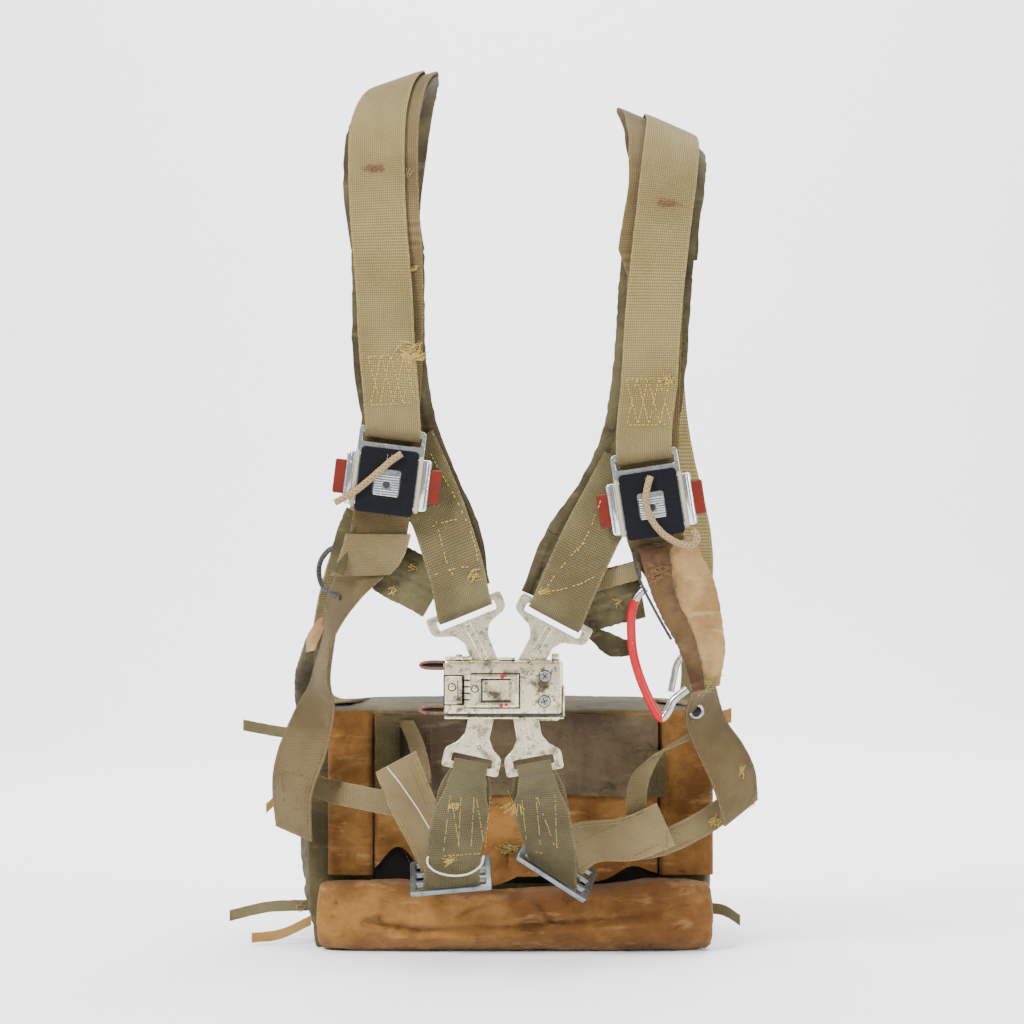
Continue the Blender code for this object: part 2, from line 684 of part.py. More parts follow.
def legs(side):
    """The adaptor, the tab from the lock, the wide leg strap and its bands on one side."""
    tag = side.tag
    half_w, half_h = ADAPTOR_WIDTH / 2, ADAPTOR_HEIGHT / 2
    place = side.adaptor
    outline = rounded([
        Corner(-half_w, 15.5, 2), Corner(half_w, 15.5, 2), Corner(half_w, -ADAPTOR_HEIGHT, 2),
        Corner(-half_w, -ADAPTOR_HEIGHT, 2),
    ], 2)
    inner = half_w - 5
    slots = [
        [Vector((-inner, 11.0)), Vector((-inner, 2.5)), Vector((inner, 2.5)), Vector((inner, 11.0))],
        [Vector((-inner, -2.5)), Vector((-inner, -11.5)), Vector((inner, -11.5)), Vector((inner, -2.5))],
        [Vector((-inner, -16.0)), Vector((-inner, -26.0)), Vector((inner, -26.0)), Vector((inner, -16.0))],
    ]
    plate("adaptor_" + tag, "steel", [outline] + slots, ADAPTOR, place)
    tab = frames_through(stations_of(side.tab), 4)
    strap("tab_" + tag, "olive_webbing", closed_loop(tab, 4.7, 1.4, 4), side.tab_width)
    wide = frames_through(stations_of(side.wide), 4)
    strap("leg_strap_" + tag, "olive_webbing", round_bar(wide, 5.2, 1.4, len(wide) - 1, 4), side.wide_width)
    strap("leg_band_" + tag, "olive_webbing", frames_through(stations_of(side.band), 4), side.band_width)
    strap("leg_arc_" + tag, "olive_webbing", frames_through(stations_of(side.arc), 4), side.arc_width)


Side = namedtuple("Side", (
    "tag release riser web pad pad_width chest quilt quilt_width crest inboard under padded cord adaptor tab"
    " tab_width wide wide_width band band_width arc arc_width"
))
Lug = namedtuple("Lug", "tag x z tilt flipped ear slot_half stem")
Fold = namedtuple("Fold", "x0 z0 x1 z1 depth spread")
Tie = namedtuple("Tie", "name finish width points")

BAND_FOLDS = (
    Fold(-110, 28, -60, 17, 4.0, 5),
    Fold(-60, 17, 40, 16, 4.5, 5),
    Fold(40, 16, 125, 26, 4.0, 5),
    Fold(-18, 38, -40, 20, 3.0, 5),
    Fold(35, 42, 50, 22, 3.0, 5),
    Fold(118, 48, 122, 30, 2.0, 6),
)
MIDDLE_FOLDS = (
    Fold(-103, 101, -62, 101, 2.0, 5),
    Fold(90, 110, 124, 118, 1.5, 6),
)
# The bar's middle of each lug
LUGS = (
    Lug("upper_left", -29.0, 279.0, 22.0, False, 30.5, 23.5, 49.5),
    Lug("upper_right", 41.5, 274.8, -28.0, False, 30.5, 23.5, 49.5),
    Lug("lower_left", -24.3, 157.6, -12.5, True, 22.0, 15.5, 49.5),
    Lug("lower_right", 25.0, 156.6, 10.0, True, 22.0, 15.5, 49.5),
)
TIES = (
    Tie("tie_left_upper", "olive_webbing", 9.0, ((-160.0, 60, 170), (-186, 59, 174), (-211, 57, 179))),
    Tie("tie_left_middle", "canvas", 8.0, ((-161.5, 80, 122), (-180, 79, 120), (-194, 78, 109))),
    Tie("tie_left_lower", "olive_webbing", 9.0, ((-158.0, 60, 32), (-190, 58, 31), (-222, 56, 24))),
    Tie("tie_left_foot", "canvas", 8.0, ((-158.0, 60, 20), (-180, 58, 9), (-204, 56, 6))),
    Tie("tie_right_lower", "olive_webbing", 9.0, ((165.0, 60, 30), (180, 58, 28), (193, 56, 20))),
    Tie("tie_right_upper", "canvas", 12.0, ((167.0, 60, 182), (176, 58, 184), (186, 56, 187))),
)

POCKET = (
    (155, -94, 217, 10, 0), (153, -97, 240, 12, 0), (147, -100, 263, 14, 0), (138, -104, 292, 14, 0),
    (130, -109.2, 314, 12, 0), (126, -112.2, 329, 8, 0),
)
GRIP = (
    (109, -105.5, 294), (102, -104.5, 286), (99, -103.5, 276), (98.5, -101, 262), (100, -98.5, 245),
    (104.5, -96, 228), (111, -95, 212), (117.5, -95, 199.5), (122, -95, 194.5), (126.5, -95, 199),
    (131, -94.8, 208), (141.5, -94.2, 216.5),
)
GATE = ((129.2, -95, 214.6), (130.3, -95, 221), (131.5, -95, 226), (132.5, -95, 232))

LEFT = Side(
    tag="left",
    release=seat(-87.0, -117.5, 375.0, -7.0),
    riser=(
        (-82.4, -117.5, 412.7, -7, 0), (-84, -114.5, 437, -4, 0), (-88, -107, 483, 0, 0),
        (-90, -100, 521, 0, 0), (-95, -88, 576, 2, 0), (-97, -74, 624, 5, 0), (-96, -58, 656, 10, -4),
        (-90, -34, 681, 16, -8), (-82, 0, 694, 17, -8), (-86, 34, 683, 10, 0), (-93, 62, 648, 2, 0),
        (-100, 84, 590, 0, 0), (-97, 96, 510, 0, 0), (-94, 102, 430, 0, 0), (-100, 103, 370, 0, 14),
        (-124, 102, 318, 0, 42), (-142, 100, 272, 0, 64), (-149, 98, 226, 0, 70), (-149.5, 98, 205, 0, 70),
        (-145, 96.5, 198.8, 0, 70), (-134, 92.5, 197.6, 0, 70), (-118, 86.7, 198.6, 0, 70),
    ),
    web=(
        (-166, 4, 96, -12, -45), (-167, -2, 131, -8, -40), (-158, -12, 164, 0, -25),
        (-148, -25, 196, 5, -40), (-144, -38, 220, 5, -70), (-137, -55, 252, 5, -72),
        (-122, -80, 284, 5, -50), (-101, -101, 315, 0, -10), (-92, -109.4, 346, 0, 0),
        (-90, -109.6, 375, 0, 0), (-86, -108.3, 410, 0, 0), (-83, -104.3, 450, 0, 0),
        (-82, -98.6, 500, 0, 0), (-83, -89.8, 553, 2, 0),
    ),
    pad=(
        (-28, -104.5, 291, 20, 0), (-38, -102.4, 331, 22, 0), (-59, -101.2, 376, 22, 0),
        (-78, -100.4, 422, 12, 0), (-86, -97.0, 470, 4, 0), (-87, -90.2, 520, 2, 0), (-88, -84.4, 556, 2, 0),
    ),
    pad_width=[(0.0, 40.0), (0.12, 48.0), (0.3, 56.0), (1.0, 58.0)],
    chest=(
        (-29.0, -114.0, 279.0, 22, 0), (-35, -111.0, 308, 22, 0), (-47, -105.8, 346, 24, 0),
        (-59, -104.9, 376, 26, 0), (-72, -104.0, 405, 26, 0),
    ),
    quilt=(
        (-89, -92.2, 311, 60, 0), (-77, -94.6, 304, 60, 0), (-64, -97.0, 298, 60, 0),
        (-50, -98.5, 290, 60, 0),
    ),
    quilt_width=42.0,
    crest=(12, 34),
    inboard=1,
    under=((0, 10.0), (57, 10.0)),
    padded=((0, 2.0), (57, 2.0)),
    cord=((-75.6, -129.2, 396), (-83, -129.6, 391), (-91, -129.6, 384), (-99.7, -129.4, 376.5),
          (-111, -129.2, 367.5), (-126, -128.6, 359)),
    adaptor=seat(-40.3, -30.0, 62.0, 5.0, 65.0) @ Matrix.Rotation(math.pi, 4, "Y"),
    tab=((-40.3, -30.0, 62.0, 5, 0), (-38, -48, 88, 2, 0), (-31, -80, 122, -6, 0),
         (-24.3, -114.0, 157.6, -12.5, 0)),
    tab_width=[(0.0, 43.0), (0.25, 44.0), (0.42, 43.0), (0.5, 30.0), (0.54, 26.0), (0.72, 26.0), (0.8, 42.0),
               (1.0, 43.0)],
    wide=((-47.4, -3.7, 73.7, 5, 0), (-58, -12, 96, 12, 0), (-72, -17, 124, 22, 0), (-84, -19, 155, 28, 0)),
    wide_width=36.0,
    band=((-150, 8, 134, 90, 0), (-133, 4, 129, 90, 0), (-105, -6, 124, 90, 0), (-84, -12.6, 121, 84, 0)),
    band_width=19.0,
    arc=((-62, -8, 118, 0, 0), (-64, 8, 146, 0, 0), (-70, 24, 168, 0, 0), (-78, 31.7, 184, 0, 0)),
    arc_width=13.0,
)
RIGHT = Side(
    tag="right",
    release=seat(113.0, -117.5, 358.0, 8.7),
    riser=(
        (107.3, -117.5, 395.6, 8.7, 0), (108, -114.5, 416, 5, 0), (112, -108.5, 452, 0, 0),
        (115, -101, 498, 0, 0), (121, -90, 553, -2, 0), (127, -77, 600, -6, 0), (131, -58, 632, -12, 4),
        (133, -30, 650, -20, 8), (132, 2, 658, -22, 8), (131, 34, 648, -14, 0), (132, 60, 612, -4, 0),
        (130, 80, 552, 0, 0), (127, 88, 475, 0, 0), (133, 90, 410, 0, -6), (150, 92, 335, 0, -22),
        (156, 95, 278, 0, -52), (155.5, 98, 232, 0, -68), (155, 98, 206, 0, -68), (151, 96.4, 198.8, 0, -68),
        (140, 92, 197.7, 0, -68), (124, 85.5, 198.7, 0, -68),
    ),
    web=(
        (190, 6, 112, 25, 45), (184, -2, 140, 15, 35), (171, -12, 168, 0, 25), (160, -25, 190, -5, 40),
        (158, -40, 215, -5, 62), (152, -56, 247, -5, 62), (141, -76, 280, -5, 40), (128, -97, 306, -2, 12),
        (117, -108.6, 330, 0, 0), (113, -109.6, 358, 0, 0), (112, -108.3, 396, 0, 0),
        (114, -104.2, 440, 0, 0), (116, -97.6, 490, 0, 0), (118, -90.6, 533, -2, 0),
    ),
    pad=(
        (33, -104.5, 284, -24, 0), (52, -102.4, 324, -26, 0), (82, -101.2, 366, -26, 0),
        (103, -100.4, 408, -14, 0), (112, -97.2, 456, -4, 0), (116, -90.6, 504, -2, 0),
        (118, -86.0, 533, -2, 0),
    ),
    pad_width=[(0.0, 40.0), (0.12, 48.0), (0.3, 56.0), (1.0, 58.0)],
    chest=(
        (41.5, -114.0, 274.8, -28, 0), (53, -111.0, 302, -26, 0), (68, -105.8, 334, -26, 0),
        (83, -104.9, 362, -28, 0), (97, -104.0, 388, -28, 0),
    ),
    quilt=(
        (106, -93.0, 293, 100, 0), (94, -95.0, 290, 100, 0), (78, -96.5, 286, 100, 0),
        (58, -98.5, 280, 100, 0),
    ),
    quilt_width=44.0,
    crest=(12, 34),
    inboard=-1,
    under=((0, 10.0), (12, 10.0), (15, 8.0), (18, 11.0), (21, 16.0), (24, 22.0), (27, 11.0), (30, 3.0),
           (33, 0.0)),
    padded=((0, 2.0), (12, 2.0), (15, -1.0), (21, -2.0), (24, 0.0), (33, 0.0)),
    cord=((112, -129.2, 379), (109.5, -129.6, 370), (108.4, -129.6, 360), (112.5, -129.8, 347),
          (121, -129.9, 336), (133, -128.6, 328.5), (143, -126.5, 327), (147.5, -125.5, 332),
          (144, -124.8, 338.5)),
    adaptor=seat(41.1, -30.0, 70.2, -33.0, 65.0) @ Matrix.Rotation(math.pi, 4, "Y"),
    tab=((41.1, -30.0, 70.2, -33, 0), (37, -48, 92, -16, 0), (30, -80, 124, -2, 0),
         (25.0, -114.0, 156.6, 10, 0)),
    tab_width=[(0.0, 43.0), (0.25, 44.0), (0.42, 43.0), (0.5, 30.0), (0.54, 26.0), (0.72, 26.0), (0.8, 42.0),
               (1.0, 43.0)],
    wide=((51.1, -3.7, 78.3, -33, 0), (67.6, -9, 90.2, -55, 0), (100, -17, 94, -66, 0),
          (129, -19, 106, -66, 0)),
    wide_width=36.0,
    band=((186, 10, 122, 118, 0), (160, 6, 104, 116, 0), (128, -6, 90, 110, 0), (104, -12.6, 86, 108, 0)),
    band_width=20.0,
    arc=((106, -12.6, 102, 0, 0), (108, -9, 138, 0, 0), (124, -8, 161, 30, 0), (152, -21, 177, 40, 0)),
    arc_width=16.0,
)


def main():
    """Builds the object."""
    for found in list(bpy.data.objects):
        bpy.data.objects.remove(found)
    pack_body()
    cover_band()
    pack_front()
    ties()
    lock()
    for side in (LEFT, RIGHT):
        release(side)
        shoulder(side)
        legs(side)
    small_gear()
    stand = bpy.data.objects.new("stand", None)
    bpy.context.scene.collection.objects.link(stand)
    stand.location = Vector((-ORIGIN_X, -ORIGIN_Y, 0.0)) * MM
    for made in bpy.context.scene.objects:
        if made is not stand:
            made.parent = stand


main()
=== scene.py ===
"""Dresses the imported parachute: webbing, canvas pack, lock, releases, leg straps and grip.

Tables and sizes are in millimetres in the maker's frame, whose front faces -Y; row() turns them
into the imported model's metres.
"""

from __future__ import annotations

import json
import logging
import math
import random
from collections.abc import Callable, Sequence
from dataclasses import dataclass, field
from enum import Enum

import bmesh
import bpy
from mathutils import Matrix, Vector, noise


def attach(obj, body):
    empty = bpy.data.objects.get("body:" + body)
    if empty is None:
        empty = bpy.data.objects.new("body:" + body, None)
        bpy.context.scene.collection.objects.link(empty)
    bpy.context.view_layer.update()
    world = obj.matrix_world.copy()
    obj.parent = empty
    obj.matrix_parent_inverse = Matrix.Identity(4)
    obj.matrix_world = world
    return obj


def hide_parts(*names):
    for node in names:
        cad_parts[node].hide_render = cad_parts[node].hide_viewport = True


LOG = logging.getLogger("parachute")

MM = 0.001
ORIGIN = Vector((4.0, 123.0, 0.0))
BODY = "harness"
FINE = 3
WEB = 2.0
GAP = 0.6
LAYER = WEB + GAP
PAD = 6.0

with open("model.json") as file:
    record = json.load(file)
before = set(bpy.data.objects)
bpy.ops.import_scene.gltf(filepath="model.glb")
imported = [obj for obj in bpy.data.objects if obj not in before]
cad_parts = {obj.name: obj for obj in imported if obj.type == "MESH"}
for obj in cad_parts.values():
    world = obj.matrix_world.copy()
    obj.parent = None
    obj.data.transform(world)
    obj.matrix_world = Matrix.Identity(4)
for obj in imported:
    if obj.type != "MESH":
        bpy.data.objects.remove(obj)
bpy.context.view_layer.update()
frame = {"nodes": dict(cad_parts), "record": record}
NODE_BODY = {node: body for body, nodes in frame["record"]["behaviour"]["bodies"].items() for node in nodes}

Row = tuple[float, float, float, float, float]
Point = tuple[float, float, float]
Knots = float | Sequence[tuple[float, float]]


def row(point: Vector) -> Vector:
    """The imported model's place, in metres, of a point in mm."""
    return (point - ORIGIN) * MM


def swell(value: float, centre: float, spread: float) -> float:
    """A smooth hill of height 1 at the centre."""
    return math.exp(-((value - centre) / spread) ** 2)


def rough(point: Vector, size: float, octaves: int = 3) -> float:
    """Smooth noise from about -1 to 1 at a point in mm, with lumps of the given size."""
    return noise.fractal(point / size, 1.0, 2.0, octaves)


# Finishes


class Graph:
    """A material's nodes, wired with short calls."""

    def __init__(self, name: str) -> None:
        """Starts an empty Principled material.

        Args:
            name: The material's name.
        """
        self.material = bpy.data.materials.new(name)
        self.material.use_nodes = True
        self.nodes = self.material.node_tree.nodes
        self.links = self.material.node_tree.links
        self.shader = self.nodes["Principled BSDF"]

    def feed(self, socket: bpy.types.NodeSocket, value: object) -> None:
        """Links an output to a socket, or sets the socket's own value."""
        if isinstance(value, bpy.types.NodeSocket):
            self.links.new(value, socket)
        elif value is not None:
            socket.default_value = value

    def coords(self) -> bpy.types.NodeSocket:
        """Object coordinates, in metres."""
        return self.nodes.new("ShaderNodeTexCoord").outputs["Object"]

    def uv(self, name: str) -> tuple[bpy.types.NodeSocket, bpy.types.NodeSocket]:
        """The two coordinates of a UV map."""
        made = self.nodes.new("ShaderNodeUVMap")
        made.uv_map = name
        split = self.nodes.new("ShaderNodeSeparateXYZ")
        self.links.new(made.outputs[0], split.inputs[0])
        return split.outputs[0], split.outputs[1]

    def split(self, vector: bpy.types.NodeSocket) -> list[bpy.types.NodeSocket]:
        """The X, Y and Z of a vector."""
        made = self.nodes.new("ShaderNodeSeparateXYZ")
        self.links.new(vector, made.inputs[0])
        return list(made.outputs)

    def math(self, operation: str, a: object, b: object = None, clamp: bool = False) -> bpy.types.NodeSocket:
        """A math node's result."""
        made = self.nodes.new("ShaderNodeMath")
        made.operation = operation
        made.use_clamp = clamp
        self.feed(made.inputs[0], a)
        self.feed(made.inputs[1], b)
        return made.outputs[0]

    def lumps(
        self, vector: bpy.types.NodeSocket, scale: float, detail: float = 3.0, rough_share: float = 0.55
    ) -> bpy.types.NodeSocket:
        """Noise from 0 to 1."""
        made = self.nodes.new("ShaderNodeTexNoise")
        self.feed(made.inputs["Vector"], vector)
        made.inputs["Scale"].default_value = scale
        made.inputs["Detail"].default_value = detail
        made.inputs["Roughness"].default_value = rough_share
        return made.outputs[0]

    def stretched(self, vector: bpy.types.NodeSocket, scale: Point) -> bpy.types.NodeSocket:
        """Coordinates scaled by axis."""
        made = self.nodes.new("ShaderNodeMapping")
        self.feed(made.inputs["Vector"], vector)
        made.inputs["Scale"].default_value = scale
        return made.outputs[0]

    def band(self, value: object, low: float, high: float) -> bpy.types.NodeSocket:
        """0 below low and 1 above high, smooth between."""
        made = self.nodes.new("ShaderNodeMapRange")
        made.interpolation_type = "SMOOTHSTEP"
        self.feed(made.inputs[0], value)
        made.inputs[1].default_value = low
        made.inputs[2].default_value = high
        return made.outputs[0]

    def mix(self, share: object, a: object, b: object) -> bpy.types.NodeSocket:
        """Two colours mixed."""
        made = self.nodes.new("ShaderNodeMix")
        made.data_type = "RGBA"
        self.feed(made.inputs[0], share)
        self.feed(made.inputs[6], (*a, 1.0) if isinstance(a, tuple) else a)
        self.feed(made.inputs[7], (*b, 1.0) if isinstance(b, tuple) else b)
        return made.outputs[2]

    def relief(self, height: object, distance: float, strength: float = 1.0, over: object = None) -> object:
        """A bump from a height, over another where given."""
        made = self.nodes.new("ShaderNodeBump")
        made.inputs["Strength"].default_value = strength
        made.inputs["Distance"].default_value = distance
        self.feed(made.inputs["Height"], height)
        self.feed(made.inputs["Normal"], over)
        return made.outputs[0]

    def finish(self, colour: object, roughness: object, normal: object = None, **sockets: object) -> bpy.types.Material:
        """Feeds the shader.

        Args:
            colour: A colour or an output.
            roughness: A number or an output.
            normal: A bump's output.
            **sockets: Other sockets by name, with _ for a space.

        Returns:
            The material.
        """
        self.feed(self.shader.inputs["Base Color"], (*colour, 1.0) if isinstance(colour, tuple) else colour)
        self.feed(self.shader.inputs["Roughness"], roughness)
        self.feed(self.shader.inputs["Normal"], normal)
        for name, value in sockets.items():
            self.feed(self.shader.inputs[name.replace("_", " ")], value)
        return self.material


Colour = tuple[float, float, float]


@dataclass(frozen=True)
class WovenFinish:
    """Webbing: ribs on the piece's own UV map, stains, painted shade in the weave's hollows and worn edges."""

    name: str
    base: Colour
    shade: Colour
    wear: Colour
    pitch: float = 0.0042
    relief: float = 0.0008
    hollow_shade: float = 1.0

    def make(self) -> bpy.types.Material:
        """The material."""
        g = Graph(self.name)
        u, v = g.uv("cloth")
        across, along = g.uv("place")[1], g.uv("place")[0]
        turn = 2 * math.pi / self.pitch
        rows = g.math("SINE", g.math("MULTIPLY", g.math("ADD", u, v), turn))
        ribs = g.math("SINE", g.math("MULTIPLY", g.math("SUBTRACT", v, u), turn))
        weave = g.math("MULTIPLY_ADD", g.math("MULTIPLY", rows, ribs), 0.5)
        weave.node.inputs[2].default_value = 0.5
        weave = g.band(weave, 0.1, 0.75)
        spots = g.coords()
        stains = g.band(g.lumps(spots, 16.0, 5.0), 0.36, 0.66)
        grime = g.band(g.lumps(spots, 60.0, 4.0), 0.5, 0.72)
        edge = g.band(g.math("ABSOLUTE", g.math("SUBTRACT", across, 0.5)), 0.44, 0.5)
        fibres = g.lumps(g.stretched(spots, (1.0, 1.0, 1.0)), 900.0, 2.0)
        colour = g.mix(stains, self.base, self.shade)
        colour = g.mix(g.math("MULTIPLY", grime, 0.35), colour, self.shade)
        # The weave's low points mix towards a darker copy of the shade colour: painted shade in the hollows between the
        # threads.
        dark = tuple(c * 0.42 for c in self.shade)
        colour = g.mix(g.math("MULTIPLY", g.math("SUBTRACT", 1.0, weave), self.hollow_shade), colour, dark)
        colour = g.mix(g.math("MULTIPLY", edge, g.band(fibres, 0.4, 0.7)), colour, self.wear)
        colour = g.mix(g.math("MULTIPLY", g.math("SUBTRACT", 1.0, g.band(along, 0.0, 0.01)), 0.4), colour, self.wear)
        height = g.math("MULTIPLY_ADD", fibres, 0.35)
        g.feed(height.node.inputs[2], weave)
        return g.finish(colour, 0.9, g.relief(height, self.relief), Sheen_Weight=0.05, Specular_IOR_Level=0.15)


@dataclass(frozen=True)
class CanvasFinish:
    """Plain cloth: a fine weave, faded and dirty patches, soft rubbed streaks and painted shade along thin crease
    lines.
    """

    name: str
    base: Colour
    shade: Colour
    faded: Colour
    pitch: float = 0.0013
    relief: float = 0.00022
    roughness: float = 0.92
    sheen: float = 0.12

    def make(self) -> bpy.types.Material:
        """The material."""
        g = Graph(self.name)
        spots = g.coords()
        x, y, z = g.split(spots)
        turn = 2 * math.pi / self.pitch
        warp = g.math("SINE", g.math("MULTIPLY", g.math("ADD", x, g.math("MULTIPLY", y, 0.9)), turn))
        weft = g.math("SINE", g.math("MULTIPLY", g.math("ADD", z, g.math("MULTIPLY", y, 0.35)), turn))
        weave = g.math("MULTIPLY", warp, weft)
        broad = g.band(g.lumps(spots, 11.0, 6.0, 0.62), 0.40, 0.60)
        patches = g.band(g.lumps(spots, 34.0, 5.0, 0.6), 0.46, 0.7)
        rubbed = g.band(g.lumps(g.stretched(spots, (1.0, 1.0, 4.0)), 26.0, 6.0, 0.65), 0.55, 0.72)
        specks = g.band(g.lumps(spots, 420.0, 2.0), 0.6, 0.72)
        lines = g.math("ABSOLUTE", g.math("SUBTRACT", g.lumps(g.stretched(spots, (1.0, 1.0, 1.7)), 24.0, 3.0), 0.5))
        crease = g.math("MULTIPLY", g.math("SUBTRACT", 1.0, g.band(lines, 0.0, 0.022)), patches)
        colour = g.mix(broad, self.base, self.shade)
        colour = g.mix(g.math("MULTIPLY", patches, 0.5), colour, self.shade)
        colour = g.mix(g.math("MULTIPLY", rubbed, 0.55), colour, self.faded)
        # Thin crease lines darken to a deep shade colour: painted shade in the creases, which the soft bump also dents.
        colour = g.mix(g.math("MULTIPLY", crease, 0.6), colour, tuple(c * 0.35 for c in self.shade))
        colour = g.mix(g.math("MULTIPLY", specks, 0.3), colour, tuple(c * 0.4 for c in self.shade))
        height = g.math("MULTIPLY_ADD", g.lumps(spots, 260.0, 4.0), 1.6)
        g.feed(height.node.inputs[2], g.math("MULTIPLY", weave, 0.45))
        soft = g.relief(g.math("SUBTRACT", g.lumps(spots, 55.0, 5.0), g.math("MULTIPLY", crease, 0.5)), 0.0022, 0.7)
        return g.finish(
            colour, self.roughness, g.relief(height, self.relief, 1.0, soft),
            Sheen_Weight=self.sheen * 0.5, Specular_IOR_Level=0.15,
        )


@dataclass(frozen=True)
class MetalFinish:
    """Plated metal: a tinted plate, grime in soft patches and fine scratches."""

    name: str
    base: Colour
    grime: Colour
    dirt: float = 0.5
    gloss: float = 0.28
    matt: float = 0.55

    def make(self) -> bpy.types.Material:
        """The material."""
        g = Graph(self.name)
        spots = g.coords()
        patches = g.band(g.lumps(spots, 75.0, 6.0, 0.62), 0.47, 0.68)
        pits = g.band(g.lumps(spots, 480.0, 4.0, 0.6), 0.56, 0.7)
        streaks = g.lumps(g.stretched(spots, (9.0, 1.0, 1.4)), 130.0, 4.0)
        dirty = g.math("MULTIPLY", patches, self.dirt, clamp=True)
        colour = g.mix(dirty, self.base, self.grime)
        spots_mid = g.band(g.lumps(spots, 190.0, 5.0, 0.65), 0.55, 0.62)
        colour = g.mix(g.math("MULTIPLY", spots_mid, self.dirt * 0.8), colour, self.grime)
        colour = g.mix(g.math("MULTIPLY", pits, self.dirt * 0.7), colour, tuple(c * 0.5 for c in self.grime))
        worn = g.math("MULTIPLY_ADD", g.math("ADD", patches, streaks), (self.matt - self.gloss) * 0.5)
        worn.node.inputs[2].default_value = self.gloss
        height = g.math("ADD", g.math("MULTIPLY", streaks, 0.5), g.math("MULTIPLY", pits, -0.6))
        return g.finish(colour, worn, g.relief(height, 0.00012, 0.7), Metallic=1.0)


@dataclass(frozen=True)
class PaintFinish:
    """Paint over a primer or metal, worn through in chips."""

    name: str
    paint: Colour
    under: Colour
    chips: float = 0.66
    roughness: float = 0.3

    def make(self) -> bpy.types.Material:
        """The material."""
        g = Graph(self.name)
        spots = g.coords()
        shade = g.mix(g.lumps(spots, 60.0, 4.0), self.paint, tuple(c * 0.6 for c in self.paint))
        chips = g.band(g.lumps(spots, 170.0, 6.0, 0.65), self.chips, self.chips + 0.03)
        height = g.math("ADD", g.math("MULTIPLY", chips, -1.0), g.math("MULTIPLY", g.lumps(spots, 420.0, 3.0), 0.3))
        rub = g.math("MULTIPLY_ADD", chips, 0.3)
        rub.node.inputs[2].default_value = self.roughness
        return g.finish(g.mix(chips, shade, self.under), rub, g.relief(height, 0.00018), Specular_IOR_Level=0.2)


@dataclass(frozen=True)
class BraidFinish:
    """A braided cord, crossed strands on the cord's own UV map, with painted shade in the grooves between strands."""

    name: str
    base: Colour
    shade: Colour

    def make(self) -> bpy.types.Material:
        """The material."""
        g = Graph(self.name)
        u, v = g.uv("cloth")
        first = g.math("SINE", g.math("MULTIPLY", g.math("ADD", u, v), 2 * math.pi / 0.0036))
        second = g.math("SINE", g.math("MULTIPLY", g.math("SUBTRACT", u, v), 2 * math.pi / 0.0036))
        strands = g.math("MAXIMUM", first, second)
        # Between the strands the colour falls to the shade colour: painted shade in the grooves; the next mix adds
        # darker patches at random as dirt.
        colour = g.mix(g.band(strands, -0.2, 0.9), self.shade, self.base)
        colour = g.mix(g.math("MULTIPLY", g.lumps(g.coords(), 120.0, 4.0), 0.4), colour, self.shade)
        return g.finish(colour, 0.85, g.relief(strands, 0.0005), Sheen_Weight=0.1)


